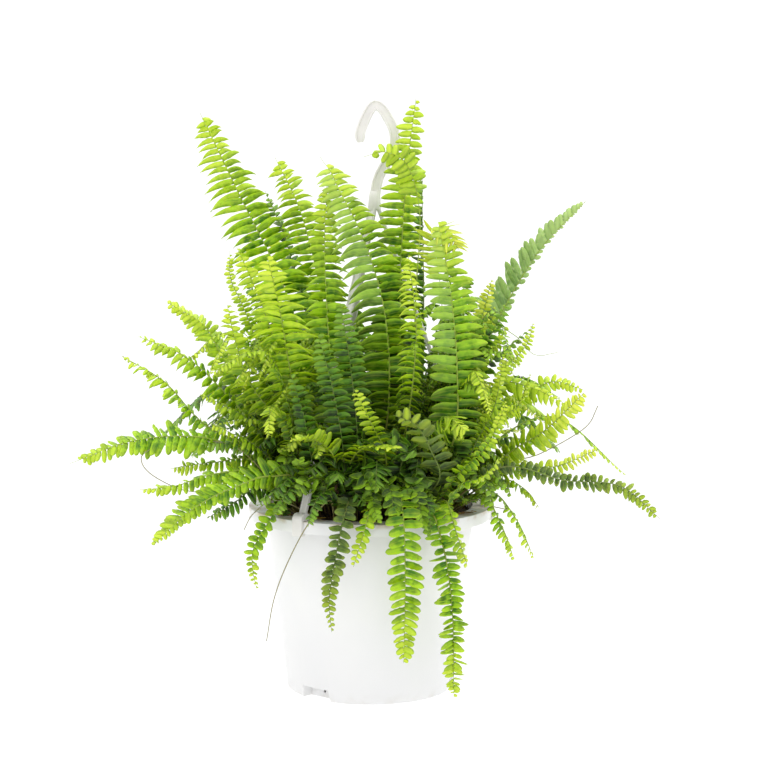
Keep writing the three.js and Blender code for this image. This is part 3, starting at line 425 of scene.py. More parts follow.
# %% Table of the fronds
FRONT = -90
FAMILIES = {
    "upper_frond": [
        ([-28, 6], 75, FRONT, 0, "mid", "arching",
         [[-43, 14, 248], [-76, 30, 348], [-114, 44, 425], [-149, 54, 497]]),
        ([-20, 30], 60, FRONT, 0, "mid", "wild",
         [[-28, 38, 255], [-44, 54, 342], [-62, 70, 410], [-85, 82, 458]]),
        ([-24, -34], 46, FRONT, 0, "mid", "arching",
         [[-28, -68, 235], [-35, -50, 321], [-38, -32, 389], [-35, -20, 445]]),
        ([4, -22], 66, FRONT, 0, "silver", "blinds",
         [[16, -40, 255], [12, -46, 332], [-8, -40, 397], [-42, -16, 459]]),
        ([12, 0], 46, FRONT, 0, "mid", "sparse",
         [[25, -8, 251], [26, -16, 359], [31, -18, 444], [39, -14, 508]]),
        ([22, -12], 34, FRONT, 0, "mid", "crowned",
         [[35, -24, 253], [39, -32, 348], [42, -32, 411], [32, -28, 451], [13, -26, 463], [-5, -24, 459]]),
        ([24, 16], 25, -50, 0, "deep", "folded",
         [[44, 26, 248], [47, 40, 334], [46, 55, 395], [46, 68, 445]]),
        ([42, -46], 53, FRONT, 0, "silver", "stacked",
         [[70, -64, 225], [72, -78, 289], [66, -86, 351], [56, -88, 407]]),
        ([14, -34], 25, FRONT, 0, "fresh", "drooping",
         [[31, -56, 236], [38, -86, 306], [36, -102, 345], [31, -118, 382]]),
        ([-50, -36], 66, FRONT, 0, "fresh", "wild",
         [[-56, -56, 240], [-65, -78, 283], [-73, -96, 336], [-82, -110, 380]]),
        ([-56, -8], 36, FRONT, 0, "fresh", "wild",
         [[-73, -26, 226], [-100, -44, 269], [-112, -56, 307], [-118, -64, 338]]),
        ([-42, -16], 36, FRONT, 0, "fresh", "wild",
         [[-62, -32, 245], [-85, -48, 322], [-98, -54, 357], [-110, -60, 385]]),
        ([-46, 18], 15, FRONT, 0, "fresh", "beads",
         [[-78, 24, 243], [-109, 32, 324], [-122, 40, 352], [-123, 46, 377]]),
    ],
    "left_frond": [
        ([-60, 8], 33, None, 55, "fresh", "ruffled",
         [[-87, 10, 224], [-126, 18, 281], [-144, 26, 312], [-177, 34, 332]]),
        ([-66, -8], 36, None, 45, "mid", "arching",
         [[-88, -12, 214], [-124, -18, 259], [-157, -20, 290], [-197, -18, 307]]),
        ([-64, -22], 26, None, 20, "mid", "beads",
         [[-92, -32, 207], [-139, -44, 235], [-172, -46, 271], [-208, -44, 293]]),
        ([-60, -38], 38, None, 50, "mid", "tapered",
         [[-91, -52, 204], [-137, -62, 226], [-195, -70, 225], [-249, -72, 206]]),
        ([-54, -50], 22, None, 35, "mid", "ruffled",
         [[-90, -72, 197], [-128, -84, 199], [-160, -90, 190], [-189, -92, 187]]),
        ([-42, -58], 38, None, 60, "mid", "crested",
         [[-66, -84, 199], [-111, -104, 191], [-146, -112, 173], [-176, -114, 145]]),
        ([-68, -31], 19, None, 40, "mid", "beads",
         [[-97, -40, 202], [-131, -46, 203], [-168, -48, 198]]),
        ([-50, -57], 20, None, 40, "deep", "beads",
         [[-90, -58, 183], [-113, -66, 172], [-136, -68, 159]]),
    ],
    "hanging_frond": [
        ([-45, -46], 22, -110, 0, "mid", "dwindling",
         [[-68, -66, 179], [-82, -84, 161], [-96, -86, 137], [-97, -82, 117], [-94, -78, 101]]),
        ([-16, -60], 24, FRONT, 0, "olive", "dwindling",
         [[-16, -92, 179], [-22, -116, 163], [-28, -116, 133], [-33, -112, 99], [-31, -110, 72]]),
        ([0, -64], 15, None, 0, "fresh", "round",
         [[2, -98, 176], [-4, -116, 158], [-13, -118, 128]]),
        ([16, -62], 32, FRONT, 0, "mid", "hanging",
         [[23, -96, 188], [28, -122, 163], [29, -124, 110], [28, -118, 48]]),
        ([32, -62], 24, FRONT, 0, "mid", "strung",
         [[46, -94, 179], [60, -110, 144], [68, -104, 89], [70, -94, 13]]),
        ([46, -56], 17, None, 0, "fresh", "round",
         [[62, -84, 177], [72, -96, 150], [81, -92, 123]]),
        ([62, -34], 17, None, 0, "mid", "beads",
         [[93, -56, 178], [111, -66, 151], [121, -66, 124]]),
        ([70, -22], 12, None, 0, "fresh", "beads",
         [[102, -36, 176], [124, -46, 154], [139, -46, 121]]),
        ([72, -8], 11, None, 0, "mid", "folded",
         [[111, -18, 183], [133, -24, 176], [145, -26, 160]]),
    ],
    "right_frond": [
        ([56, -44], 13, None, -84, "olive", "knobby",
         [[108, -70, 202], [162, -80, 193], [207, -84, 189], [241, -84, 161]]),
        ([64, -26], 16, None, -80, "young", "beads",
         [[114, -44, 193], [157, -54, 201], [191, -58, 216]]),
        ([62, -14], 25, None, -80, "young", "round",
         [[115, -34, 207], [146, -60, 232], [177, -78, 266]]),
        ([54, 8], 20, None, -70, "fresh", "round",
         [[97, 10, 223], [134, 12, 252], [158, 12, 265], [185, 12, 258]]),
        ([48, -8], 29, None, -66, "fresh", "arching",
         [[86, -18, 231], [110, -28, 267], [137, -34, 265], [166, -36, 251]]),
        ([48, -32], 20, None, -84, "fresh", "beads",
         [[84, -52, 223], [101, -74, 243], [133, -98, 260]]),
        ([40, 6], 14, None, -80, "mid", "beads",
         [[71, 4, 250], [96, 2, 313], [122, 0, 308], [141, -2, 290], [161, -4, 292]]),
        ([52, 22], 15, FRONT, 0, "fresh", "beads",
         [[92, 32, 230], [119, 46, 271], [138, 52, 293], [144, 54, 313]]),
        ([36, 28], 42, None, -70, "grey", "forward",
         [[74, 38, 246], [115, 54, 320], [150, 66, 376], [192, 76, 420]]),
        ([34, -14], 20, FRONT, 0, "young", "beads",
         [[73, -20, 253], [92, -24, 313], [103, -24, 356]]),
        ([32, -26], 30, FRONT, 0, "deep", "arching",
         [[68, -40, 238], [87, -58, 292], [102, -68, 316], [114, -76, 343]]),
    ],
    "inner_frond": [
        ([-2, -50], 20, FRONT, 0, "fresh", "oblong",
         [[13, -84, 211], [2, -106, 243], [-12, -124, 274]]),
        ([-26, -48], 26, FRONT, 0, "fresh", "ruffled",
         [[-29, -84, 209], [-43, -106, 230], [-64, -126, 232]]),
        ([-14, -40], 25, FRONT, 0, "fresh", "oblong",
         [[-16, -74, 203], [-3, -104, 224], [28, -134, 227]]),
        ([30, -48], 33, FRONT, 0, "olive", "broad",
         [[57, -86, 194], [50, -106, 222], [38, -118, 244], [20, -124, 253]]),
    ],
}
FRONDS = {f"{family}_{k + 1}": row for family, rows in FAMILIES.items() for k, row in enumerate(rows)}
FRONDS["hanging_runner"] = (
    [-30, -62], 0, None, 0, "stem", "bare",
    [[-33, -84, 177], [-50, -104, 161], [-67, -104, 129], [-79, -94, 96], [-86, -82, 58]],
)
FRONDS["right_runner"] = (
    [70, 6], 0, None, 0, "stem", "bare",
    [[112, -4, 193], [146, -10, 205], [184, -14, 228], [195, -14, 247]],
)
print("fronds with a name of their own:", len(FRONDS))

# %% [markdown]
# Behind and low down, the plant repeats itself, so those fronds come as sprays of a few from one crown,
# drawn with a small fixed-seed generator. The numbers are drawn in the same order as in the CAD source,
# so every frond of a spray lands on its own solid.

# %% Table of the sprays
SOIL_MOUND = 159.0
BACK_SPRAYS = [
    ([62, 24], 18, [(4, 62, 310)]),
    ([40, 46], 48, [(2, 78, 350)]),
    ([10, 34], 76, [(-4, 74, 428), (4, 112, 350)]),
    ([2, 62], 98, [(3, 84, 312)]),
    ([-30, 52], 126, [(8, 92, 398), (-6, 120, 330)]),
    ([-52, 34], 156, [(-6, 66, 348)]),
]
LOW_SPRAYS = [([-34, -36], -150), ([-14, -24], -110), ([8, -47], -70), ([44, -20], -28)]
draw_state = 7


def draw(low, high):
    """The next number of a small fixed-seed generator."""
    global draw_state
    draw_state = draw_state * 16807 % 2147483647
    return low + (high - low) * draw_state / 2147483647


def spray_way(root, bearing, reach_out, crest, tip):
    """Three points of a frond that rises from its root along a bearing and arches over to its tip."""
    angle = math.radians(bearing)
    steps = ((0.22, SOIL_MOUND + (crest - SOIL_MOUND) * 0.58), (0.6, crest), (1.0, tip))
    return [
        [root[0] + reach_out * s * math.cos(angle), root[1] + reach_out * s * math.sin(angle), z]
        for s, z in steps
    ]


NODES = {name: [row] for name, row in FRONDS.items()}
for k, (root, bearing, tall) in enumerate(BACK_SPRAYS):
    look = "deep" if k % 2 else "mid"
    fronds = [
        (28, spray_way(root, bearing + aside, out, SOIL_MOUND + (height - SOIL_MOUND) * 0.8, height))
        for aside, out, height in tall
    ]
    # blade, way to one side, then least and most of: aside, reach, crest and tip height
    for blade, side, asides, outs, crests, tips in (
        (12 if k == 0 else 36, -1, (16, 24), (140, 165), (225, 250), (175, 200)),
        (36, 1, (16, 24), (120, 145), (235, 262), (200, 225)),
        (26, 1, (-9, 9), (66, 84), (200, 216), (186, 200)),
    ):
        toward = bearing + side * draw(*asides)
        fronds.append((blade, spray_way(root, toward, draw(*outs), draw(*crests), draw(*tips))))
    NODES[f"back_spray_{k + 1}"] = [(root, blade, None, 0, look, "oblong", way) for blade, way in fronds]
for k, (root, bearing) in enumerate(LOW_SPRAYS):
    ways = [
        spray_way(root, bearing + aside, draw(66, 84), draw(200, 216), draw(192, 205))
        for aside in (-66, -22, 22, 66)
    ]
    NODES[f"low_spray_{k + 1}"] = [(root, 26, None, 0, "deep", "curly", way) for way in ways]
print("nodes that hold fronds:", len(NODES))

# %% [markdown]
# A rib is one smooth bend, so its points are joined by a Catmull-Rom curve and spaced evenly along it.

# %% Smooth ribs
ROUTE_STEP = 7.0
FINE_STEPS = 200
NECK_RADIUS = 89.5
SOIL_FALL = 6.0
ROOT_ABOVE = 0.8


def soil_top(radius):
    """Height of the soil's surface at a distance from the pot's axis."""
    return SOIL_MOUND - SOIL_FALL * (radius / NECK_RADIUS) ** 2


def smooth(points, shares):
    """Points of the Catmull-Rom curve through the given points, at shares of its parameter."""
    p = np.asarray(points, float)
    p = np.vstack([2 * p[0] - p[1], p, 2 * p[-1] - p[-2]])
    spans = len(p) - 3
    at = np.asarray(shares, float) * spans
    i = np.minimum(at.astype(int), spans - 1)
    w = (at - i)[:, None]
    a, b, c, d = p[i], p[i + 1], p[i + 2], p[i + 3]
    lead, follow = (c - a) / 2, (d - b) / 2
    second = -3 * b + 3 * c - 2 * lead - follow
    third = 2 * b - 2 * c + lead + follow
    return b + lead * w + second * w**2 + third * w**3


def spaced(points, count):
    """Evenly spaced points along the smooth curve, count + 1 of them."""
    shares = np.linspace(0, 1, FINE_STEPS + 1)
    dense = smooth(points, shares)
    run = np.concatenate([[0], np.cumsum(np.linalg.norm(np.diff(dense, axis=0), axis=1))])
    return smooth(points, np.interp(np.linspace(0, run[-1], count + 1), run, shares))


def length_of(points):
    """Length of the smooth curve through the points."""
    dense = smooth(points, np.linspace(0, 1, FINE_STEPS + 1))
    return np.linalg.norm(np.diff(dense, axis=0), axis=1).sum()


def rib_on(line, blade, face, turn, look, habit):
    """A rib: its line, and how the leaflets stand on it. The turn is in degrees."""
    return {
        "line": line, "blade": blade, "face": face, "turn": math.radians(turn),
        "look": look, "habit": habit,
    }


def rib_of(row):
    """The rib of a table's row, from the soil at its root along its way."""
    root, *held, way = row
    points = [[root[0], root[1], soil_top(math.hypot(*root)) + ROOT_ABOVE], *way]
    return rib_on(spaced(points, math.ceil(length_of(points) / ROUTE_STEP)), *held)


routes = [rib_of(row) | {"node": name} for name, rows in NODES.items() for row in rows]
print("ribs:", len(routes), "points:", sum(len(r["line"]) for r in routes))

# %% [markdown]
# Fronds of a crowded plant lean out of each other's way. As in the CAD source, points of two ribs that
# are too near push each other apart, and each rib spreads the push along itself so that it stays smooth.
# The hanger's arms and hook push the ribs away too and stay still themselves.

# %% Bend the ribs clear of each other
HUB = np.array([4.0, 0.0, 424.0])
HOOK_LINE = [[-8, 471], [-8, 480], [-3, 493], [1, 500], [5, 503], [11, 499], [18, 487], [21, 478],
             [21, 468], [18, 460], [13, 452], [7, 440], [4, 424]]
ARM_BEARINGS = (-124, -4, 116)
ARM_FOOT_RADIUS = 100.0
POT_HEIGHT = 160.0
RIB_CLEARANCE = 8.0
ARM_CLEARANCE = 9.5
BEND_ROUNDS = 80
PUSH_KEPT = 0.6
PUSH_PASSED_ON = 0.35
STIFF_POINTS = 4


def polar(bearing, radius, z):
    """A point at a bearing in degrees, a radius and a height."""
    angle = math.radians(bearing)
    return np.array([radius * math.cos(angle), radius * math.sin(angle), z])


ARM_FEET = [polar(bearing, ARM_FOOT_RADIUS, POT_HEIGHT + 2) for bearing in ARM_BEARINGS]
hook_points = [[x, 0.0, z] for x, z in HOOK_LINE]
arm_points = [HUB + np.linspace(0, 1, 35)[:, None] * (foot - HUB) for foot in ARM_FEET]
still = np.vstack([spaced(hook_points, 16), *arm_points])


def too_near(a, b, least):
    """Pairs of points, one of a and one of b, that are nearer than least."""
    squared = (a**2).sum(1)[:, None] + (b**2).sum(1)[None] - 2 * a @ b.T
    return np.nonzero(squared < least**2)


def pushes(a, b, least):
    """Half the way that each pair of points still has to move apart."""
    gap = a - b
    distance = np.maximum(np.linalg.norm(gap, axis=1), 0.01)
    return gap * ((least - distance) / (2 * distance))[:, None]


def bend_clear():
    """Moves the points of the routes until none is too near another rib or the hanger."""
    names = list(NODES)
    owner = np.concatenate([[k] * len(r["line"]) for k, r in enumerate(routes)])
    index = np.concatenate([np.arange(len(r["line"])) for r in routes])
    node = np.array([names.index(routes[k]["node"]) for k in owner])
    last = np.array([len(routes[k]["line"]) - 1 for k in owner])
    points = np.vstack([r["line"] for r in routes])
    for done in range(BEND_ROUNDS):
        shift = np.zeros_like(points)
        i, j = too_near(points, points, RIB_CLEARANCE)
        apart = (owner[i] < owner[j]) & (node[i] != node[j]) & (index[i] > 0)
        i, j = i[apart], j[apart]
        push = pushes(points[i], points[j], RIB_CLEARANCE)
        np.add.at(shift, i, push)
        np.add.at(shift, j, -push)
        m, n = too_near(points, still, ARM_CLEARANCE)
        m, n = m[index[m] > 0], n[index[m] > 0]
        np.add.at(shift, m, pushes(points[m], still[n], ARM_CLEARANCE))
        if not len(i) and not len(m):
            break
        shift[index == 0] = 0
        before, after = np.roll(shift, 1, 0), np.roll(shift, -1, 0)
        before[index == 0] = 0
        after[index == last] = 0
        spread = PUSH_KEPT * shift + PUSH_PASSED_ON * (before + after)
        points = points + spread * np.minimum(1, index / STIFF_POINTS)[:, None]
    for k, route in enumerate(routes):
        route["line"] = points[owner == k]
    return done


print("rounds of bending:", bend_clear())

# %% [markdown]
# A blade has a side vector at each point of its rib: it says where the leaflets of that stretch point.
# The side starts level and square to the frond's bearing, and `turn` then rolls it, so that a frond can
# show its face to the room.

# %% Ribs as meshes with attributes
BARE_SHARE = 0.2
RIB_STEP = 3.0
LEAST_STEPS = 12
ROOT_SUNK = 9.0


def rib_sides(line, route):
    """Unit side vectors along a rib."""
    along = np.gradient(line, axis=0)
    along /= np.linalg.norm(along, axis=1)[:, None]
    along[0] = (0, 0, 1)
    if route["face"] is None:
        outward = line[-1] - line[0]
        bearing = math.atan2(-outward[1], -outward[0])
    else:
        bearing = math.radians(route["face"])
    across = np.cross([0, 0, 1], [math.cos(bearing), math.sin(bearing), 0])
    level = across - along * (along @ across)[:, None]
    level /= np.linalg.norm(level, axis=1)[:, None]
    facing = np.cross(level, along)
    share_along = np.linspace(0, 1, len(line))
    turn = route["turn"] * np.minimum(1, share_along / BARE_SHARE)
    return level * np.cos(turn)[:, None] + facing * np.sin(turn)[:, None]


def tag(mesh, name, values, kind="FLOAT", domain="POINT"):
    """Stores a named attribute on a mesh."""
    field = "vector" if kind == "FLOAT_VECTOR" else "value"
    mesh.attributes.new(name, kind, domain).data.foreach_set(field, values)


def piece(name, mesh):
    """A mesh as an object of the scene."""
    made = bpy.data.objects.new(name, mesh)
    scene.collection.objects.link(made)
    return made


def rib_object(name, ribs):
    """One mesh of edges that holds the ribs of a node, each point with its side, share and blade."""
    points, edges, sides, shares, blades = [], [], [], [], []
    for route in ribs:
        steps = max(LEAST_STEPS, math.ceil(length_of(route["line"]) / RIB_STEP))
        line = spaced(route["line"], steps)
        side = rib_sides(line, route)
        line = np.vstack([line[0] - [0, 0, ROOT_SUNK], line])
        first = len(points)
        points += list(line * MM)
        edges += [(first + k, first + k + 1) for k in range(len(line) - 1)]
        sides += [side[0], *side]
        shares += [0.0, *np.linspace(0, 1, len(line) - 1)]
        blades += [route["blade"] / 2 * MM] * len(line)
    mesh = bpy.data.meshes.new(name)
    mesh.from_pydata(points, edges, [])
    tag(mesh, "side", np.ravel(sides), "FLOAT_VECTOR")
    tag(mesh, "share", shares)
    tag(mesh, "blade", blades)
    return piece(name, mesh)


# %% [markdown]
# ## The leaflets
# A leaflet is a thin closed blade of a few dozen faces: at each station along it, a left margin, a right
# margin, and the midrib's top and underside. The margins are sharp edges, so each face shades smoothly
# by itself. The blade is one unit long and one unit wide, because the tree gives it both sizes. Every
# habit has a few variants, each bent and rippled a little differently, and a mirrored set for the other
# side of the rib, because a mirrored instance would be inside out.

# %% Leaflet shapes
FINE_STATIONS = (0.0, 0.06, 0.16, 0.3, 0.45, 0.6, 0.73, 0.84, 0.93, 1.0)
SMALL_STATIONS = (0.0, 0.12, 0.34, 0.62, 0.86, 1.0)
TINY_STATIONS = (0.0, 0.2, 0.58, 0.88, 1.0)
VARIANTS = 5
BLADE_THICKNESS = 0.07

# Columns, all in widths of the blade but curl, foot and the last two: sickle bends it towards the frond's
# tip, roof lowers its margins, curl turns it about its own midrib in radians, ripple waves its margins,
# sway bends it to and fro, ear widens the side of its foot that is nearer the frond's tip, and foot is the
# width of the foot as a share. The outline's two powers keep it wide up to its end when the first is high
# and the second low.
SHAPES = {
    "arching": (0.3, 0.32, 0.7, 0.12, 0.12, 0.3, 0.72, 2.6, 0.85),
    "oblong": (0.2, 0.3, 0.6, 0.12, 0.08, 0.3, 0.85, 3.6, 0.62),
    "blinds": (0.2, 0.35, 0.7, 0.16, 0.14, 0.3, 0.8, 3.0, 0.75),
    "blunt": (0.1, 0.3, 0.4, 0.12, 0.05, 0.2, 0.8, 4.5, 0.5),
    "folded": (0.2, 0.6, 1.0, 0.12, 0.1, 0.2, 0.8, 3.0, 0.7),
    "curly": (0.1, 0.5, 1.2, 0.22, 0.2, 0.1, 0.8, 3.6, 0.55),
    "brush": (0.5, -0.3, 0.6, 0.16, 0.1, 0.1, 0.8, 2.4, 0.8),
    "bead": (0.05, 0.3, 0.5, 0.1, 0.0, 0.1, 0.7, 3.4, 0.55),
    "round": (0.05, 0.3, 0.4, 0.14, 0.05, 0.1, 0.8, 4.0, 0.5),
}
STATIONS = dict.fromkeys(SHAPES, FINE_STATIONS) | {"bead": TINY_STATIONS}
STATIONS |= dict.fromkeys(("folded", "curly", "brush", "round"), SMALL_STATIONS)
TIP_WIDTH = 0.03
EAR_REACH = 0.25
# some of the arching leaflets end in a thin tail
TAILED_SHARE = 0.6
TAIL_FROM = 0.84
TAIL_TO = 1.2
TAIL_WIDTH = 0.09


def leaflet_mesh(name, kind, side_hand, dice):
    """A leaflet along +X with its face up +Z; side_hand is -1 for the mirrored one."""
    sickle, roof, curl, ripple, sway, ear, foot, power, root_power = SHAPES[kind]
    curl *= dice.uniform(-1, 1)
    sway *= dice.uniform(-1, 1)
    roof *= dice.uniform(0.5, 1.3)
    waves = dice.uniform(2.2, 3.8)
    phase = dice.uniform(0, math.tau)
    tailed = kind == "arching" and dice.random() < TAILED_SHARE
    points, reaches, acrosses = [], [], []
    for t in STATIONS[kind]:
        widening = foot + (1 - foot) * min(1, t / 0.3)
        half = max(TIP_WIDTH, 0.5 * widening * (1 - t**power) ** root_power)
        if tailed and t > TAIL_FROM:
            half = min(half, TAIL_WIDTH * (TAIL_TO - t) / (TAIL_TO - TAIL_FROM))
        swing = sway * math.sin(math.tau * (0.9 * t + phase)) * t
        middle = Vector((t, side_hand * (sickle * t * t + swing), 0))
        for across, rise in ((-1, 0), (0, 1), (1, 0), (0, -1)):
            tipward = across * side_hand > 0
            eared = 1 + ear * max(0, 1 - t / EAR_REACH) * (1 if tipward else -1)
            wave = ripple * math.sin(math.tau * waves * t + phase + across) * half
            lift = abs(across) * (wave - roof * half) + rise * BLADE_THICKNESS / 2
            corner = Vector((0, across * half * eared, lift))
            corner.rotate(Matrix.Rotation(curl * t * side_hand, 3, "X"))
            points.append(middle + corner)
            reaches.append(t)
            acrosses.append(float(across))
    end = len(points) - 4
    faces = [(0, 1, 2, 3)]
    for s in range(0, end, 4):
        for a, b in ((0, 1), (1, 2), (2, 3), (3, 0)):
            faces.append((s + a, s + a + 4, s + b + 4, s + b))
    faces.append((end + 3, end + 2, end + 1, end))
    mesh = bpy.data.meshes.new(name)
    mesh.from_pydata(points, [], faces)
    mesh.shade_smooth()
    margins = [a % 4 == b % 4 and a % 2 == 0 for a, b in (edge.vertices for edge in mesh.edges)]
    tag(mesh, "sharp_edge", margins, "BOOLEAN", "EDGE")
    tag(mesh, "reach", reaches)
    tag(mesh, "across", acrosses)
    return mesh


def outward(mesh):
    """Turns a closed mesh's faces outwards."""
    work = bmesh.new()
    work.from_mesh(mesh)
    bmesh.ops.recalc_face_normals(work, faces=work.faces)
    work.to_mesh(mesh)
    work.free()


def leaflet_set(habit, side_hand):
    """A collection with the variants of one habit, for one side of the rib."""
    label = f"{habit} {'right' if side_hand > 0 else 'left'}"
    made = bpy.data.collections.new(label)
    dice = random.Random(label)
    for k in range(VARIANTS):
        mesh = leaflet_mesh(f"{label} {k}", habit, side_hand, dice)
        outward(mesh)
        made.objects.link(bpy.data.objects.new(mesh.name, mesh))
    return made


LEAFLETS = {habit: (leaflet_set(habit, 1), leaflet_set(habit, -1)) for habit in SHAPES}
print("leaflet sets:", len(LEAFLETS), "of", VARIANTS, "variants a side")

# %% [markdown]
# ## The frond tree
# One Geometry Nodes tree makes every frond from its rib. It spaces points along the rib, closer and
# closer towards the tip, as on the real frond. It puts a leaflet on each side of each point, alternately,
# leans them forward a little more towards the tip, and scales them so that the blade is full in its
# middle and fine at its tip. Then gravity and the leaflet's own bow bend each leaflet's end down.

# %% Helpers for geometry trees


def geometry_tree(name, inputs):
    """A tree with geometry in and out and some more inputs; the tree and its inputs."""
    tree = bpy.data.node_groups.new(name, "GeometryNodeTree")
    for socket, kind in (("Geometry", "Geometry"), *inputs):
        tree.interface.new_socket(socket, in_out="INPUT", socket_type="NodeSocket" + kind)
    tree.interface.new_socket("Geometry", in_out="OUTPUT", socket_type="NodeSocketGeometry")
    return tree, tree.nodes.new("NodeGroupInput").outputs


def baked(target):
    """Gives a piece the plain mesh that its modifiers make of it, and drops them."""
    evaluated = target.evaluated_get(bpy.context.evaluated_depsgraph_get())
    target.data = bpy.data.meshes.new_from_object(evaluated)
    target.modifiers.clear()


def run_tree(target, tree, values):
    """Runs a tree on a piece. A modifier's values are set by the identifiers of the tree's inputs."""
    sockets = {s.name: s.identifier for s in tree.interface.items_tree if s.in_out == "INPUT"}
    modifier = target.modifiers.new(tree.name, "NODES")
    modifier.node_group = tree
    for name, value in values.items():
        modifier[sockets[name]] = value
    baked(target)


# %% Build the frond tree
PROFILE = ((0.2, 0.95), (0.4, 1.0), (0.6, 0.98), (0.78, 0.85), (0.9, 0.62), (0.97, 0.34))
PROFILE_FOOT, PROFILE_TIP = 0.62, 0.1
ALTERNATION = 0.25
WIDTH_SPREAD = 0.12
WIDEST = 0.8
BEND_POWER = 2.4
RIB_SIDES = 6

frond_tree, given = geometry_tree("frond from its rib", [
    ("Right leaflets", "Collection"), ("Left leaflets", "Collection"),
    ("Leaflet material", "Material"), ("Rib material", "Material"), ("Seed", "Int"),
    *((name, "Float") for name in (
        "Spacing", "Fill", "Crowding", "Bare share", "Leafy to", "Foot lean", "Tip lean", "Lean spread",
        "Bow", "Bow spread", "Sag", "Level", "Taper", "Droop", "Droop spread", "Twist", "Twist spread",
        "Size spread", "Right size", "Left size", "Rib radius", "Rib taper",
    )),
])
grow = partial(step, frond_tree)
number = partial(maths, frond_tree)
times = partial(product, frond_tree)
compare = partial(grow, "FunctionNodeCompare", data_type="FLOAT")


def named(name, kind="FLOAT"):
    """A named attribute of the rib or the leaflets."""
    return grow("GeometryNodeInputNamedAttribute", {"Name": name}, data_type=kind)


def vectors(operation, *values):
    """One vector sum."""
    return grow("ShaderNodeVectorMath", dict(enumerate(values)), operation=operation)


def scaled(vector, factor):
    """A vector times a number."""
    return grow("ShaderNodeVectorMath", {0: vector, "Scale": factor}, operation="SCALE")


def dice_roll(low, high, salt):
    """A random number between two values for each leaflet."""
    seed = number("ADD", given["Seed"], salt)
    return grow("FunctionNodeRandomValue", {2: low, 3: high, 8: seed}, 1, data_type="FLOAT")


def around(middle, spread, salt):
    """A random number around a middle."""
    return number("MULTIPLY_ADD", dice_roll(-1.0, 1.0, salt), spread, middle)


def kept(geometry, name, value, kind="FLOAT", domain="POINT"):
    """Stores a value on the geometry under a name."""
    inputs = {"Geometry": geometry, "Name": name, "Value": value}
    return grow("GeometryNodeStoreNamedAttribute", inputs, data_type=kind, domain=domain)


def joined(bits):
    """Several geometries as one."""
    made = place(frond_tree, "GeometryNodeJoinGeometry")
    for bit in bits:
        frond_tree.links.new(bit, made.inputs[0])
    return made.outputs[0]


# the rib, and the points on it where leaflets stand
rib = grow("GeometryNodeMeshToCurve", {0: given["Geometry"]})
points = grow("GeometryNodeResampleCurve", {"Curve": rib, "Length": given["Spacing"]}, mode="LENGTH")
even = grow("GeometryNodeSplineParameter", output="Factor")
spare = times(even, number("SUBTRACT", 1.0, even))
crowded = number("MULTIPLY_ADD", spare, given["Crowding"], even)
which = grow("GeometryNodeCurveOfPoint")


def on_rib(value, kind):
    """The rib's own value, place and direction at the crowded points."""
    inputs = {"Curves": rib, "Factor": crowded, "Curve Index": which, "Value": value}
    settings = {"mode": "FACTOR", "data_type": kind, "use_all_curves": False}
    made = place(frond_tree, "GeometryNodeSampleCurve", inputs, **settings)
    return [made.outputs[name] for name in ("Value", "Position", "Tangent")]


side_there, place_there, ahead_there = on_rib(named("side", "FLOAT_VECTOR"), "FLOAT_VECTOR")
share_there = on_rib(named("share"), "FLOAT")[0]
opening = number("MULTIPLY_ADD", even, -2.0, 1.0)
gap_there = number("MULTIPLY_ADD", opening, given["Crowding"], 1.0)
# stored together, so that the fields still read the even points
for name, value, kind in (("gap", gap_there, "FLOAT"), ("share2", share_there, "FLOAT"),
                          ("side2", side_there, "FLOAT_VECTOR"), ("ahead", ahead_there, "FLOAT_VECTOR")):
    points = kept(points, name, value, kind)
points = grow("GeometryNodeSetPosition", {"Geometry": points, "Position": place_there})

# how the rib runs at each point, and how large and wide a leaflet is there
tangent = vectors("NORMALIZE", named("ahead", "FLOAT_VECTOR"))
side = vectors("NORMALIZE", named("side2", "FLOAT_VECTOR"))
face_up = vectors("CROSS_PRODUCT", side, tangent)
steep = grow("ShaderNodeSeparateXYZ", {0: tangent}, 2)
upright = times(steep, steep)
share = named("share2")
blade_share = grow("ShaderNodeMapRange", {"Value": share, "From Min": given["Bare share"], "From Max": 1.0})
profile = place(frond_tree, "ShaderNodeFloatCurve", {"Value": blade_share})
curve = profile.mapping.curves[0]
curve.points[0].location = (0, PROFILE_FOOT)
curve.points[1].location = (1, PROFILE_TIP)
for x, y in PROFILE:
    curve.points.new(x, y)
profile.mapping.update()
tapering = number("MULTIPLY_ADD", blade_share, times(given["Taper"], -1.0), 1.0)
room = times(named("blade"), times(profile.outputs[0], tapering))
full_width = times(given["Spacing"], named("gap"), given["Fill"])
after_foot = compare({0: share, 1: given["Bare share"]}, operation="GREATER_THAN")
before_tip = compare({0: share, 1: given["Leafy to"]}, operation="LESS_THAN")
leafy = grow("FunctionNodeBooleanMath", {0: after_foot, 1: before_tip}, operation="AND")
pick = grow("FunctionNodeRandomValue", {4: 0, 5: VARIANTS - 1, 8: given["Seed"]}, 2, data_type="INT")

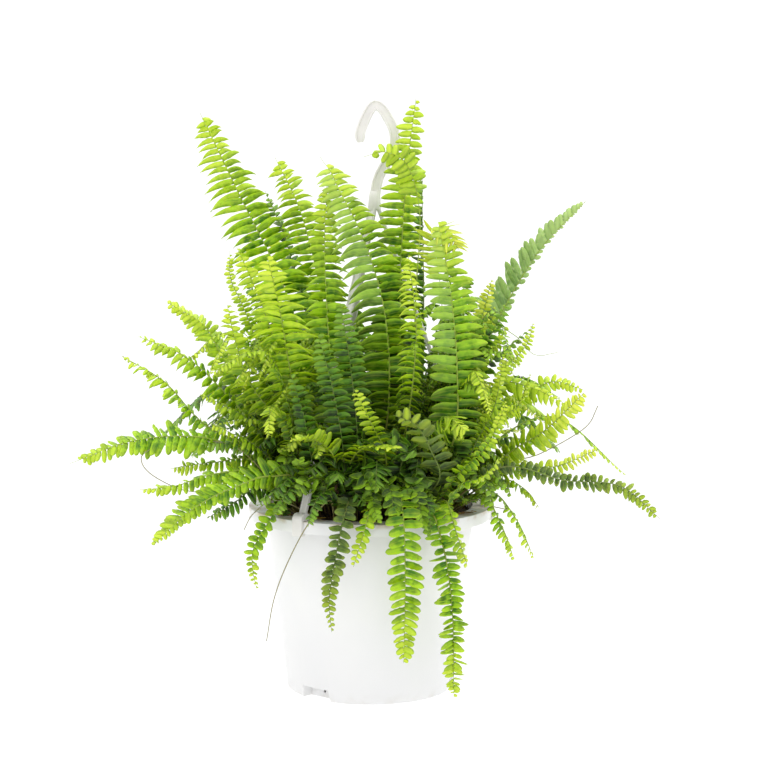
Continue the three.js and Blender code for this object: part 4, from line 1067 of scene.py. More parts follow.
# the leaflets of each side: where one stands, where it points, how it lies and how its end bends
halves = []
for hand_value, label, salt in ((1.0, "Right", 10), (-1.0, "Left", 20)):
    offset = scaled(tangent, times(given["Spacing"], ALTERNATION * hand_value))
    stand = grow("GeometryNodeSetPosition", {"Geometry": points, "Offset": offset})
    lean = {"Value": blade_share, "To Min": given["Foot lean"], "To Max": given["Tip lean"]}
    lean = around(grow("ShaderNodeMapRange", lean), given["Lean spread"], salt)
    out = scaled(side, times(number("COSINE", lean), hand_value))
    heading = vectors("ADD", out, scaled(tangent, number("SINE", lean)))
    climb = grow("ShaderNodeSeparateXYZ", {0: heading}, 2)
    fall = grow("ShaderNodeCombineXYZ", {2: times(climb, times(given["Level"], upright))})
    axes = {0: vectors("SUBTRACT", heading, fall), 1: face_up}
    pointing = grow("FunctionNodeAxesToRotation", axes, primary_axis="X", secondary_axis="Z")
    droop = around(given["Droop"], given["Droop spread"], salt + 1)
    twist = times(around(given["Twist"], given["Twist spread"], salt + 2), hand_value)
    lay = grow("ShaderNodeCombineXYZ", {0: twist, 1: droop})
    lay = grow("FunctionNodeEulerToRotation", {0: lay})
    laid = grow("FunctionNodeRotateRotation", {0: pointing, 1: lay}, rotation_space="LOCAL")
    size = times(room, around(given[label + " size"], given["Size spread"], salt + 3))
    wide = times(full_width, around(1.0, WIDTH_SPREAD, salt + 5))
    width = number("MINIMUM", wide, times(size, WIDEST))
    leaves = grow("GeometryNodeCollectionInfo", {0: given[label + " leaflets"], 1: True, 2: True})
    placed = grow("GeometryNodeInstanceOnPoints", {
        "Points": stand, "Selection": leafy, "Instance": leaves, "Pick Instance": True,
        "Instance Index": pick, "Rotation": laid,
        "Scale": grow("ShaderNodeCombineXYZ", {0: size, 1: width, 2: width}),
    })
    bow = times(around(given["Bow"], given["Bow spread"], salt + 6), -1.0)
    sag = grow("ShaderNodeCombineXYZ", {2: given["Sag"]})
    fall = vectors("SUBTRACT", scaled(face_up, bow), sag)
    placed = kept(placed, "fall", scaled(fall, size), "FLOAT_VECTOR", "INSTANCE")
    for name, value in (("hand", hand_value), ("tint", dice_roll(0.0, 1.0, salt + 4)), ("share", share)):
        placed = kept(placed, name, value, domain="INSTANCE")
    halves.append(placed)

blades = grow("GeometryNodeRealizeInstances", {0: joined(halves)})
bend = scaled(named("fall", "FLOAT_VECTOR"), number("POWER", named("reach"), BEND_POWER))
blades = grow("GeometryNodeSetPosition", {"Geometry": blades, "Offset": bend})
blades = grow("GeometryNodeSetMaterial", {"Geometry": blades, "Material": given["Leaflet material"]})
thinning = number("MULTIPLY_ADD", named("share"), times(given["Rib taper"], -1.0), 1.0)
ring = grow("GeometryNodeCurvePrimitiveCircle", {"Resolution": RIB_SIDES, "Radius": given["Rib radius"]})
stalk = {"Curve": rib, "Profile Curve": ring, "Scale": thinning, "Fill Caps": True}
stalk = grow("GeometryNodeCurveToMesh", stalk)
stalk = grow("GeometryNodeSetMaterial", {"Geometry": stalk, "Material": given["Rib material"]})
place(frond_tree, "NodeGroupOutput", {0: joined((blades, stalk))})
print("frond tree nodes:", len(frond_tree.nodes))

# %% [markdown]
# A habit says how a frond holds its leaflets. Lengths are in millimetres and angles in degrees.

# %% Habits
# shape of the leaflets, then the values of these inputs. Spacing is the way between leaflets and fill
# their width as a share of it. Bow and sag are how far the end bends back from the face and down, as
# shares of the length; level is how far an upright frond's leaflets turn level; taper is how much shorter
# the leaflets are at the tip.
HABIT_INPUTS = (
    "Spacing", "Fill", "Foot lean", "Tip lean", "Lean spread", "Bow", "Bow spread", "Sag", "Level", "Taper",
    "Droop", "Droop spread", "Twist", "Twist spread", "Size spread", "Right size", "Left size",
)
IN_DEGREES = ("Foot lean", "Tip lean", "Lean spread", "Droop", "Droop spread", "Twist", "Twist spread")
HABITS = {
    "arching": ("arching", 7.4, 1.08, 8, 26, 9, 0.12, 0.2, 0.42, 0.4, 0.34, 6, 16, 14, 28, 0.15, 1, 1),
    "oblong": ("oblong", 6.6, 0.95, 6, 26, 7, 0.10, 0.10, 0.30, 0.4, 0, 6, 12, 14, 20, 0.12, 1, 1),
    "blinds": ("blinds", 7.4, 1.06, 8, 26, 8, 0.16, 0.18, 0.42, 0.4, 0.3, 8, 16, 22, 26, 0.15, 1, 1),
    "stacked": ("oblong", 7.6, 1.08, 4, 24, 9, 0.2, 0.2, 0.24, 0.3, 0.2, 8, 16, 20, 24, 0.16, 1.08, 1),
    "sparse": ("oblong", 8.2, 0.95, 4, 22, 9, 0.1, 0.2, 0.26, 0.5, 0.15, 6, 20, 12, 28, 0.18, 0.78, 1.12),
    "ruffled": ("blunt", 5.4, 1.15, 18, 36, 10, 0.2, 0.25, 0.12, 0, 0.1, 14, 20, 20, 30, 0.16, 1, 0.9),
    "hanging": ("blunt", 7.4, 1.0, 4, 24, 6, 0.1, 0.12, 0.02, 0, 0.12, 6, 12, 10, 22, 0.12, 1, 0.95),
    "folded": ("folded", 6.2, 0.9, 10, 40, 10, 0.3, 0.3, 0.2, 0, 0, 46, 20, 20, 40, 0.2, 1, 1),
    "curly": ("curly", 5.4, 1.0, 0, 16, 14, 0.3, 0.3, 0.12, 0, 0, 22, 30, 10, 45, 0.25, 1, 1),
    "beads": ("bead", 4.8, 1.05, 0, 20, 12, 0.15, 0.2, 0.15, 0, 0, 12, 26, 10, 40, 0.25, 1, 1),
    "drooping": ("arching", 5.8, 0.9, -4, 20, 12, 0.1, 0.2, 0.6, 0.3, 0, 10, 20, 20, 30, 0.2, 0.7, 1.3),
    "brush": ("brush", 5.0, 0.9, 20, 46, 10, -0.1, 0.2, 0.05, 0, 0, -4, 18, 10, 34, 0.2, 1, 1),
    "round": ("round", 6.0, 1.05, 2, 20, 8, 0.15, 0.15, 0.06, 0, 0, 8, 18, 6, 28, 0.16, 1, 1),
    "forward": ("blunt", 7.2, 1.2, 30, 44, 8, 0.1, 0.16, 0.0, 0, 0.62, 6, 14, 10, 24, 0.16, 0.4, 1.75),
    "wild": ("arching", 6.8, 1.06, 6, 26, 13, 0.12, 0.22, 0.42, 0.4, 0.26, 8, 20, 16, 34, 0.24, 1, 1),
    "dwindling": ("round", 6.2, 1.05, 2, 20, 9, 0.15, 0.15, 0.06, 0, 0.5, 8, 18, 6, 28, 0.18, 1, 1),
    "broad": ("round", 9.4, 0.98, 4, 24, 9, 0.12, 0.15, 0.08, 0, 0.2, 8, 16, 8, 26, 0.16, 1, 1),
    "strung": ("bead", 5.4, 1.14, 0, 14, 12, 0.1, 0.15, 0.05, 0, 0.05, 10, 20, 8, 36, 0.3, 1, 1),
    "crested": ("blunt", 5.6, 1.15, 18, 34, 9, 0.2, 0.2, 0.06, 0, 0.15, 12, 18, 14, 28, 0.16, 1, 0.5),
    "crowned": ("blunt", 7.0, 1.2, 4, 30, 12, 0.12, 0.15, 0.1, 0, 0.6, 10, 18, 12, 30, 0.2, 1, 1),
    "jumble": ("round", 8.4, 1.0, 4, 26, 26, 0.2, 0.3, 0.1, 0, 0, 14, 36, 10, 50, 0.35, 1, 1),
    "tapered": ("blunt", 5.8, 1.15, 14, 30, 10, 0.15, 0.2, 0.08, 0, 0.62, 12, 18, 14, 28, 0.18, 1, 1),
    "knobby": ("bead", 5.6, 1.1, 4, 26, 14, 0.15, 0.2, 0.1, 0, -0.4, 12, 26, 10, 40, 0.3, 1, 1),
    "bare": ("round", 30.0, 1, 0, 0, 0, 0, 0, 0, 0, 0, 0, 0, 0, 0, 0, 0, 0),
}
CROWDING = 0.35
RIB_RADIUS = 1.1
THIN_RIB = 0.7
RIB_TAPER = 0.86
RUNNER_RADIUS = 0.6
RUNNER_TAPER = 0.4
NO_LEAFLETS = 2.0
# the shares of a rib between which leaflets stand, where they are not the usual ones
LEAFY_TO = 0.985
LEAFY = {
    "upper_frond_4": (BARE_SHARE, 0.955),
    "upper_frond_6": (0.8, 0.97),
    "right_frond_6": (BARE_SHARE, 0.9),
    "right_frond_7": (BARE_SHARE, 0.72),
    "left_frond_4": (0.46, 0.955),
    "inner_frond_3": (BARE_SHARE, 0.92),
    "right_frond_1": (0.16, 0.978),
    "bright_tufts_brush": (0.72, 0.97),
}


def dress(name, ribs, seed, stands_for=None):
    """Grows the fine fronds on some ribs, as one piece, and puts them in the place of a CAD node."""
    look, habit = ribs[0]["look"], ribs[0]["habit"]
    bare = habit == "bare"
    shape, *held = HABITS[habit]
    foot, tip = LEAFY.get(name, (BARE_SHARE, LEAFY_TO))
    radius = RUNNER_RADIUS if bare else RIB_RADIUS if stands_for else THIN_RIB
    values = {
        key: math.radians(value) if key in IN_DEGREES else float(value)
        for key, value in zip(HABIT_INPUTS, held)
    }
    values |= {
        "Right leaflets": LEAFLETS[shape][0], "Left leaflets": LEAFLETS[shape][1],
        "Leaflet material": LEAFLET_MATERIALS["mid" if bare else look],
        "Rib material": RIBS.get(look, RIB_PALE if stands_for else RIB_DARK), "Seed": seed,
        "Spacing": values["Spacing"] * MM, "Crowding": CROWDING,
        "Bare share": NO_LEAFLETS if bare else foot, "Leafy to": tip,
        "Rib radius": radius * MM, "Rib taper": RUNNER_TAPER if bare else RIB_TAPER,
    }
    stem = rib_object(name + "_fine" if stands_for else name, ribs)
    run_tree(stem, frond_tree, values)
    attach(stem, "root")
    if stands_for:
        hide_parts(stands_for)
    return sum(len(p.vertices) - 2 for p in stem.data.polygons)


# %% Grow the fronds
total = 0
for seed, name in enumerate(NODES):
    total += dress(name, [r for r in routes if r["node"] == name], seed, stands_for=name)
print("fronds:", len(NODES), "nodes,", total, "triangles")

# %% [markdown]
# A few more fronds stand among the large ones. They cover the hanger's arms, hide the soil at the rim,
# thicken the crown at the right and fill a gap at the left, some as strings of leaflets as small as
# beads, and thin runners loop out of the crown. They are too small for solids of their own, so only this
# scene has them. The columns are those of the fronds.

# %% Grow the small extra fronds
EXTRAS = {
    "cover_fronds": [
        ([-20, -60], 26, FRONT, 0, "deep", "oblong", [[-22, -84, 220], [-30, -92, 270], [-42, -96, 316]]),
        ([-36, -52], 24, FRONT, 0, "deep", "stacked", [[-48, -80, 212], [-54, -94, 250], [-64, -102, 284]]),
        ([-8, -56], 28, FRONT, 0, "deep", "oblong", [[-10, -76, 230], [-16, -80, 290], [-24, -82, 340]]),
        ([60, -40], 24, FRONT, 0, "lush", "oblong", [[76, -50, 230], [84, -56, 285], [90, -60, 330]]),
        ([56, -20], 24, FRONT, 0, "lush", "oblong", [[66, -30, 250], [70, -38, 320], [66, -44, 372]]),
    ],
    "dark_strings": [
        ([-20, 20], 26, FRONT, 0, "deep", "folded", [[-50, 30, 300], [-72, 40, 380], [-92, 44, 430]]),
        ([-44, -50], 16, None, 0, "deep", "beads", [[-56, -84, 190], [-68, -104, 186], [-76, -114, 170]]),
        ([-48, -40], 18, None, 30, "deep", "beads", [[-84, -58, 208], [-112, -68, 222], [-140, -74, 222]]),
        ([-40, -50], 16, None, 0, "mid", "beads", [[-60, -86, 196], [-74, -102, 190], [-92, -108, 176]]),
        ([-20, -62], 16, None, 0, "deep", "beads", [[-32, -92, 186], [-44, -110, 180], [-50, -116, 160]]),
        ([34, -60], 16, None, 0, "mid", "beads", [[40, -92, 184], [48, -108, 176], [50, -110, 152]]),
    ],
    "rim_clump": [
        ([-28, -60], 22, FRONT, 0, "lush", "round", [[-38, -84, 192], [-50, -96, 196], [-60, -102, 186]]),
        ([-40, -56], 18, FRONT, 0, "lush", "round", [[-52, -84, 200], [-58, -98, 208], [-56, -106, 216]]),
        ([10, -60], 22, FRONT, 0, "lush", "ruffled", [[12, -92, 192], [18, -110, 186], [20, -118, 160]]),
        ([26, -60], 20, FRONT, 0, "lush", "ruffled", [[28, -90, 192], [38, -106, 186], [45, -114, 158]]),
        ([2, -62], 20, FRONT, 0, "lush", "ruffled", [[4, -90, 190], [2, -106, 184], [7, -116, 164]]),
        ([62, -44], 20, None, 0, "lush", "round", [[82, -62, 192], [97, -74, 190], [103, -80, 172]]),
        ([66, -36], 18, None, 0, "lush", "round", [[92, -48, 194], [110, -54, 192], [119, -58, 176]]),
    ],
    "bright_tufts": [
        ([44, -30], 36, FRONT, 0, "young", "brush",
         [[60, -36, 250], [60, -52, 340], [52, -68, 394], [60, -80, 400], [76, -86, 380]]),
        ([-50, -20], 15, FRONT, 0, "fresh", "beads", [[-60, -60, 236], [-66, -76, 282], [-62, -84, 322]]),
        ([60, -36], 14, FRONT, 0, "fresh", "beads", [[88, -60, 220], [104, -72, 256], [110, -74, 296]]),
        ([60, -60], 14, None, 0, "fresh", "beads", [[74, -92, 190], [92, -98, 199], [110, -92, 216]]),
        ([50, -56], 14, None, 40, "fresh", "beads", [[70, -88, 196], [96, -104, 226], [112, -100, 262]]),
        ([58, -26], 14, None, 0, "fresh", "beads", [[100, -40, 230], [124, -50, 252], [134, -56, 280]]),
    ],
    "right_mass": [
        ([46, -24], 22, FRONT, 0, "fresh", "wild", [[78, -34, 250], [98, -40, 300], [104, -44, 336]]),
        ([56, -30], 20, FRONT, 0, "fresh", "wild", [[92, -44, 232], [110, -52, 270], [116, -58, 304]]),
        ([50, -20], 24, None, 40, "deep", "arching", [[90, -30, 268], [118, -36, 300], [136, -38, 316]]),
        ([52, -34], 20, None, 30, "deep", "arching", [[90, -52, 236], [112, -62, 252], [128, -66, 254]]),
    ],
    "left_gap": [
        ([-52, -30], 18, None, 30, "mid", "beads", [[-96, -44, 232], [-122, -52, 252], [-142, -58, 262]]),
        ([-52, -40], 18, None, 20, "mid", "beads", [[-90, -60, 214], [-116, -72, 232], [-132, -78, 240]]),
    ],
    "thin_runners": [
        ([-62, -30], 0, None, 0, "stem", "bare",
         [[-110, -56, 216], [-160, -66, 222], [-188, -72, 214], [-184, -76, 200], [-160, -76, 186],
          [-140, -76, 182]]),
        ([-40, -60], 0, None, 0, "stem", "bare", [[-76, -78, 176], [-96, -84, 166], [-104, -82, 152]]),
        ([66, -30], 0, None, 0, "stem", "bare", [[88, -52, 172], [100, -56, 168], [116, -54, 164]]),
        ([-30, 60], 0, None, 0, "stem", "bare", [[-44, 88, 186], [-60, 112, 172], [-68, 120, 130]]),
    ],
}
for seed, (name, rows) in enumerate(EXTRAS.items()):
    kinds = {}
    for row in rows:
        kinds.setdefault(row[5], []).append(rib_of(row))
    for habit, ribs in kinds.items():
        print(name, habit, dress(f"{name}_{habit}", ribs, 200 + seed), "triangles")

# %% [markdown]
# ## Undergrowth
# Between the tall ribs, the middle of the plant is a thicket of short curly fronds, with strings of tiny
# young leaflets at its sides. None of them can be told apart in the photograph, so they are drawn at
# random, each rising from the soil and arching outwards, and grown by the same tree.

# %% Grow the undergrowth
# bearing and its spread; number; look; habit; lowest and highest crest above the soil; least and most
# reach; least and most blade
THICKETS = {
    "undergrowth_front": (-90, 74, 40, "deep", "jumble", (26, 84), (12, 34), (20, 30)),
    "undergrowth_low": (-90, 80, 42, "lush", "jumble", (22, 58), (14, 34), (16, 26)),
    "undergrowth_left": (180, 62, 24, "deep", "curly", (34, 96), (14, 48), (16, 28)),
    "undergrowth_right": (0, 62, 24, "mid", "curly", (34, 96), (14, 48), (16, 28)),
    "undergrowth_back": (90, 74, 14, "deep", "curly", (34, 96), (14, 48), (16, 28)),
    "beads_left": (190, 50, 30, "mid", "beads", (40, 165), (20, 60), (11, 18)),
    "bright_left": (196, 36, 9, "fresh", "beads", (80, 165), (30, 60), (12, 18)),
    "beads_right": (-10, 50, 26, "lush", "beads", (50, 180), (22, 60), (11, 18)),
    "bright_right": (-14, 40, 16, "fresh", "beads", (60, 150), (24, 60), (9, 14)),
    "yellow_right": (-10, 40, 10, "young", "beads", (50, 120), (30, 58), (8, 12)),
    "beads_corner": (-38, 28, 24, "lush", "beads", (14, 66), (16, 46), (12, 18)),
    "beads_front": (-94, 64, 20, "deep", "beads", (30, 120), (8, 30), (11, 18)),
    "tall_middle": (-90, 180, 12, "deep", "oblong", (90, 180), (4, 30), (18, 28)),
}


def thicket_ribs(bearing, spread, count, look, habit, crests, outs, blades, dice):
    """Short ribs that stand within an angle of a bearing."""
    ribs = []
    for _ in range(count):
        toward = bearing + dice.uniform(-spread, spread)
        foot = polar(toward + dice.uniform(-14, 14), dice.uniform(18, 76), 0)
        foot[2] = soil_top(math.hypot(foot[0], foot[1]))
        out = dice.uniform(*outs)
        height = dice.uniform(*crests)
        middle = foot + polar(toward, out * 0.45, height * 0.7)
        top = foot + polar(toward, out, height)
        end = foot + polar(toward + dice.uniform(-20, 20), out * 1.7, height * dice.uniform(0.7, 1.0))
        blade = dice.uniform(*blades)
        face = toward if habit == "jumble" else None
        ribs.append(rib_on(spaced([foot, middle, top, end], LEAST_STEPS), blade, face,
                           dice.uniform(-50, 50), look, habit))
    return ribs


for seed, (name, plan) in enumerate(THICKETS.items()):
    ribs = thicket_ribs(*plan, random.Random(name))
    print(name, len(ribs), "short fronds,", dress(name, ribs, 100 + seed), "triangles")

# %% [markdown]
# ## The pot
# The real pot is thin moulded plastic: a tapered wall, a flat lip with a skirt, and three drain notches
# at the foot. Turning a profile about the axis gives the wall, and booleans cut the hollow and the
# notches as a mould's cores would. A small bevel takes the hard corners off.

# %% Helpers for solid pieces


def from_work(name, work):
    """The mesh of a finished bmesh."""
    mesh = bpy.data.meshes.new(name)
    work.to_mesh(mesh)
    work.free()
    return mesh


def turned(name, profile, sides):
    """A solid turned about the pot's axis from [radius, height] pairs that start and end on the axis."""
    work = bmesh.new()
    rings = []
    for radius, z in profile:
        spots = circle(sides) if radius else [(0, 0)]
        rings.append([work.verts.new((radius * MM * c, radius * MM * s, z * MM)) for c, s in spots])
    for low, high in zip(rings, rings[1:]):
        for k in range(sides):
            n = (k + 1) % sides
            corners = (low[k % len(low)], low[n % len(low)], high[n % len(high)], high[k % len(high)])
            work.faces.new(tuple(dict.fromkeys(corners)))
    bmesh.ops.recalc_face_normals(work, faces=work.faces)
    return piece(name, from_work(name, work))


def shell(name, points, faces):
    """A closed piece from points in millimetres and the faces between them."""
    mesh = bpy.data.meshes.new(name)
    mesh.from_pydata([tuple(p * MM) for p in points], [], faces)
    outward(mesh)
    return piece(name, mesh)


def prism(name, outline, start, frame_axes, depth):
    """A solid from an outline in the plane of the first two axes, pushed along the third."""
    right, up, deep = frame_axes
    near = [start + right * x + up * y for x, y in outline]
    far = [p + deep * depth for p in near]
    count = len(outline)
    faces = [tuple(range(count)), tuple(range(2 * count - 1, count - 1, -1))]
    faces += [(k, count + k, count + (k + 1) % count, (k + 1) % count) for k in range(count)]
    return shell(name, near + far, faces)


def carve(target, tools, operation="DIFFERENCE"):
    """Cuts the tools out of a piece, or joins them to it, and drops the tools."""
    for tool in tools:
        modifier = target.modifiers.new("cut", "BOOLEAN")
        modifier.operation = operation
        modifier.solver = "EXACT"
        modifier.object = tool
        baked(target)
        bpy.data.objects.remove(tool)


# %% Turn and cut the pot
POT_SIDES = 144
BASE_RADIUS = 72.0
LIP_RADIUS = 105.0
LIP_DROP = 10.0
POT_WALL = 1.8
FLOOR = 2.4
NOTCH_BEARINGS = (-130, -10, 110)
NOTCH_HEIGHT = 11.0
NOTCH_WIDTH = 36.0
NOTCH_DEPTH = 12.0
NOTCH_SPLAY = 4.0
DRAIN_RADIUS = 1.2
DRAIN_HEIGHT = 5.5
DRAIN_SIDES = 24
PAST = 20.0
SOFT_CORNER = 0.5
CREASE = math.radians(30)
UP = np.array([0.0, 0.0, 1.0])


def wall_radius(z):
    """Outside radius of the pot's wall at a height."""
    return BASE_RADIUS + (NECK_RADIUS - BASE_RADIUS) * z / (POT_HEIGHT - LIP_DROP)


def notch_pocket(bearing, margin):
    """The space of a drain notch, grown by a margin."""
    half = NOTCH_WIDTH / 2 + margin
    top = NOTCH_HEIGHT + margin
    outline = [(-half, -PAST), (half, -PAST), (half - NOTCH_SPLAY, top), (NOTCH_SPLAY - half, top)]
    deep = polar(bearing, 1, 0)
    start = polar(bearing, BASE_RADIUS - NOTCH_DEPTH - margin, 0)
    return prism("pocket", outline, start, (np.cross(UP, deep), UP, deep), NOTCH_DEPTH + margin + PAST)


def drain_hole(bearing):
    """The round hole at the back of a notch."""
    deep = polar(bearing, 1, 0)
    outline = [(DRAIN_RADIUS * c, DRAIN_RADIUS * s) for c, s in circle(DRAIN_SIDES)]
    start = polar(bearing, BASE_RADIUS - 1.5 * NOTCH_DEPTH, DRAIN_HEIGHT)
    return prism("drain", outline, start, (np.cross(UP, deep), UP, deep), NOTCH_DEPTH)


skirt = POT_HEIGHT - LIP_DROP
flange = POT_HEIGHT - POT_WALL
pot = turned("pot_fine", [
    [0, 0], [BASE_RADIUS - 2.5, 0], [wall_radius(0) - 1.2, 0.5], [wall_radius(1.2) - 0.3, 1.4],
    [wall_radius(2.5), 2.5], [wall_radius(50), 50], [wall_radius(100), 100], [NECK_RADIUS, skirt],
    [wall_radius(flange), flange], [LIP_RADIUS - POT_WALL, flange], [LIP_RADIUS - POT_WALL, skirt],
    [LIP_RADIUS, skirt], [LIP_RADIUS, POT_HEIGHT], [0, POT_HEIGHT],
], POT_SIDES)
rim_top = POT_HEIGHT + PAST
hollow = turned("hollow", [
    [0, FLOOR], [wall_radius(FLOOR) - POT_WALL, FLOOR],
    [wall_radius(rim_top) - POT_WALL, rim_top], [0, rim_top],
], POT_SIDES)
carve(hollow, [notch_pocket(bearing, POT_WALL) for bearing in NOTCH_BEARINGS])
carve(pot, [hollow, *(notch_pocket(bearing, 0) for bearing in NOTCH_BEARINGS)])
carve(pot, [drain_hole(bearing) for bearing in NOTCH_BEARINGS])
bevel = pot.modifiers.new("soft corners", "BEVEL")
bevel.width = SOFT_CORNER * MM
bevel.segments = 2
bevel.angle_limit = CREASE
baked(pot)
pot.data.shade_smooth()
print("pot faces:", len(pot.data.polygons))

# %% [markdown]
# White plastic is never one flat white: the wall is a little uneven, scuffed and dusted with fine
# specks, and painted shade makes it greyer towards its foot. Potting mix has left a faint beige stain
# along the lip's upper edge and a little dirt at the foot.

# %% Pot plastic
EVEN_RADIUS = (1.0, 1.0, 1.0)

made, tree, shader = material("pot plastic")
blotch, speck = grain(tree, 14.0, 1400.0)
here = step(tree, "ShaderNodeTexCoord", output="Object")
height = step(tree, "ShaderNodeSeparateXYZ", {0: here}, 2)
smudge = step(tree, "ShaderNodeTexNoise", {"Vector": here, "Scale": 70.0, "Detail": 4.0})
on_lip = product(tree, clamped(tree, height, 0.155, 0.1595), clamped(tree, smudge, 0.4, 0.6))
on_foot = product(tree, clamped(tree, height, 0.012, 0.0), clamped(tree, smudge, 0.4, 0.7))
colour = mixed(tree, product(tree, blotch, 0.5), paint(235, 235, 234), paint(228, 229, 230))
colour = coated(tree, colour, (
    # painted shade: greyer towards the foot
    (clamped(tree, height, 0.13, 0.0), 0.5, paint(206, 206, 207)),
    (on_lip, 0.75, paint(202, 184, 160)),
    (on_foot, 0.3, paint(190, 184, 172)),
))
roughness = maths(tree, "MULTIPLY_ADD", speck, 0.12, 0.34)
relief = maths(tree, "MULTIPLY_ADD", speck, 0.3, blotch)
plug(tree, shader, colour, roughness, relief, depth=0.3, strength=0.25)
milky(shader, 0.15, EVEN_RADIUS, 2)
pot.data.materials.clear()
pot.data.materials.append(made)
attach(pot, "root")
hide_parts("pot")
print("material:", made.name)

# %% [markdown]
# ## The hanger
# The hanger is one thin moulding of clear white plastic. Its hook and arms have raised rims on both
# faces, which keep them stiff, so they are swept with an H section. A clip at each foot goes over the
# lip in a low arch and catches under the skirt. The real clip has a slot, and this one is closed, as in
# the CAD.

# %% Sweep the hook and the arms
HOOK_WIDTH = 9.0
HOOK_THICKNESS = 5.0
HOOK_STEPS = 56
HOOK_TIP = (0.55, 0.8, 0.94)
ARM_WIDTH = 7.0
ARM_THICKNESS = 3.2
HUB_SIDES = 32
HUB_PROFILE = ((0, 414), (5.4, 414), (5.8, 416), (5.4, 420), (4.8, 426), (4.2, 429), (3.4, 430), (0, 430))
# half an H section: shares of the half width and the half thickness, round the outline
H_SECTION = [
    (-1, -0.7), (-0.88, -1), (-0.66, -1), (-0.52, -0.5), (0.52, -0.5), (0.66, -1), (0.88, -1), (1, -0.7),
]
H_SECTION += [(-x, -y) for x, y in H_SECTION]
ROUND_SECTION = circle(8)


def swept(name, line, normal, width, thickness, sizes, section=H_SECTION):
    """A closed bar along a line, wide across the normal; sizes scale its section point by point."""
    line = np.asarray(line, float)
    along = np.gradient(line, axis=0)
    along /= np.linalg.norm(along, axis=1)[:, None]
    points = []
    for centre, ahead, size in zip(line, along, sizes):
        wide = np.cross(normal, ahead)
        wide /= np.linalg.norm(wide)
        deep = np.cross(ahead, wide)
        for x, y in section:
            points.append(centre + wide * x * width / 2 * size + deep * y * thickness / 2 * size)
    count = len(section)
    faces = [tuple(range(count)), tuple(len(points) - 1 - k for k in range(count))]
    for s in range(len(line) - 1):
        for k in range(count):
            a, b = s * count + k, s * count + (k + 1) % count
            faces.append((a, b, b + count, a + count))
    return shell(name, points, faces)


crook = spaced(hook_points, HOOK_STEPS)
hook_sizes = [*HOOK_TIP, *[1] * (len(crook) - len(HOOK_TIP))]
hanger = swept("hanger_fine", crook, (0, 1, 0), HOOK_WIDTH, HOOK_THICKNESS, hook_sizes)
hub = turned("hub", HUB_PROFILE, HUB_SIDES)
hub.data.transform(Matrix.Translation((HUB[0] * MM, 0, 0)))
carve(hanger, [hub], "UNION")
for foot in ARM_FEET:
    line = HUB + np.linspace(0, 1, 3)[:, None] * (foot - HUB)
    outward_now = np.array([foot[0] - HUB[0], foot[1], 0.0])
    arm = swept("arm", line, outward_now / np.linalg.norm(outward_now), ARM_WIDTH, ARM_THICKNESS, (1, 1, 1))
    carve(hanger, [arm], "UNION")

# %% Clips at the lip
GAP = 0.3
CLIP_WIDTH = 9.5
CLIP_PLATE = 2.2
CLIP_TOP = 1.2
CLIP_RISE = 5.0
CLIP_INSIDE = 95.0
CLIP_CATCH = 2.6
ARCH_STEPS = 8

inner = LIP_RADIUS + GAP
outer = inner + CLIP_PLATE
clip_top = POT_HEIGHT + GAP
clip_bottom = POT_HEIGHT - LIP_DROP - GAP
arch_middle = (CLIP_INSIDE + outer) / 2
arch_half = (outer - CLIP_INSIDE) / 2
clip_outline = [(CLIP_INSIDE, clip_top)]
for k in range(ARCH_STEPS + 1):
    angle = math.pi * k / ARCH_STEPS
    rise = CLIP_TOP + CLIP_RISE * math.sin(angle)
    clip_outline.append((arch_middle - arch_half * math.cos(angle), clip_top + rise))
clip_outline += [
    (outer, clip_bottom - CLIP_PLATE), (LIP_RADIUS - CLIP_CATCH, clip_bottom - CLIP_PLATE),
    (LIP_RADIUS - CLIP_CATCH, clip_bottom), (inner, clip_bottom), (inner, clip_top),
]
for bearing in ARM_BEARINGS:
    out = polar(bearing, 1, 0)
    across = np.cross(UP, out)
    clip = prism("clip", clip_outline, -across * CLIP_WIDTH / 2, (out, UP, across), CLIP_WIDTH)
    carve(hanger, [clip], "UNION")
hanger.data.shade_smooth()
hanger.data.set_sharp_from_angle(angle=CREASE)
print("hanger faces:", len(hanger.data.polygons))

# %% Hanger plastic
made, tree, shader = material("hanger plastic")
blotch, speck = grain(tree, 30.0, 1200.0)
colour = mixed(tree, product(tree, blotch, 0.6), paint(228, 226, 222), paint(212, 209, 206))
roughness = maths(tree, "MULTIPLY_ADD", speck, 0.1, 0.3)
plug(tree, shader, colour, roughness, blotch, depth=0.3, strength=0.3)
milky(shader, 0.2, EVEN_RADIUS, 2)
hanger.data.materials.clear()
hanger.data.materials.append(made)
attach(hanger, "root")
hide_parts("hanger")
print("material:", made.name)

# %% [markdown]
# ## The soil
# Potting mix is dark, crumbly and uneven. A polar grid follows the CAD's mound with small noise on it.
# Crumbs and bark bits then lie on it, scattered by a second tree, and dry leaflets lie on the rim.

# %% Soil body
SOIL_RINGS = 26
SOIL_SPOKES = 96
soil_rim = wall_radius(soil_top(NECK_RADIUS)) - POT_WALL - GAP
# radius and height of the two rings below the surface, inside the pot
soil_low_rings = (
    (wall_radius(120) - POT_WALL - GAP, 120), (wall_radius(FLOOR + 20) - POT_WALL - 14, FLOOR + 14),
)


def soil_height(x, y):
    """Height of the crumbly surface above a place."""
    rough = noise.fractal(Vector((x * 0.08, y * 0.08, 3.1)), 0.8, 2.1, 4)
    return soil_top(math.hypot(x, y)) + 1.3 * rough


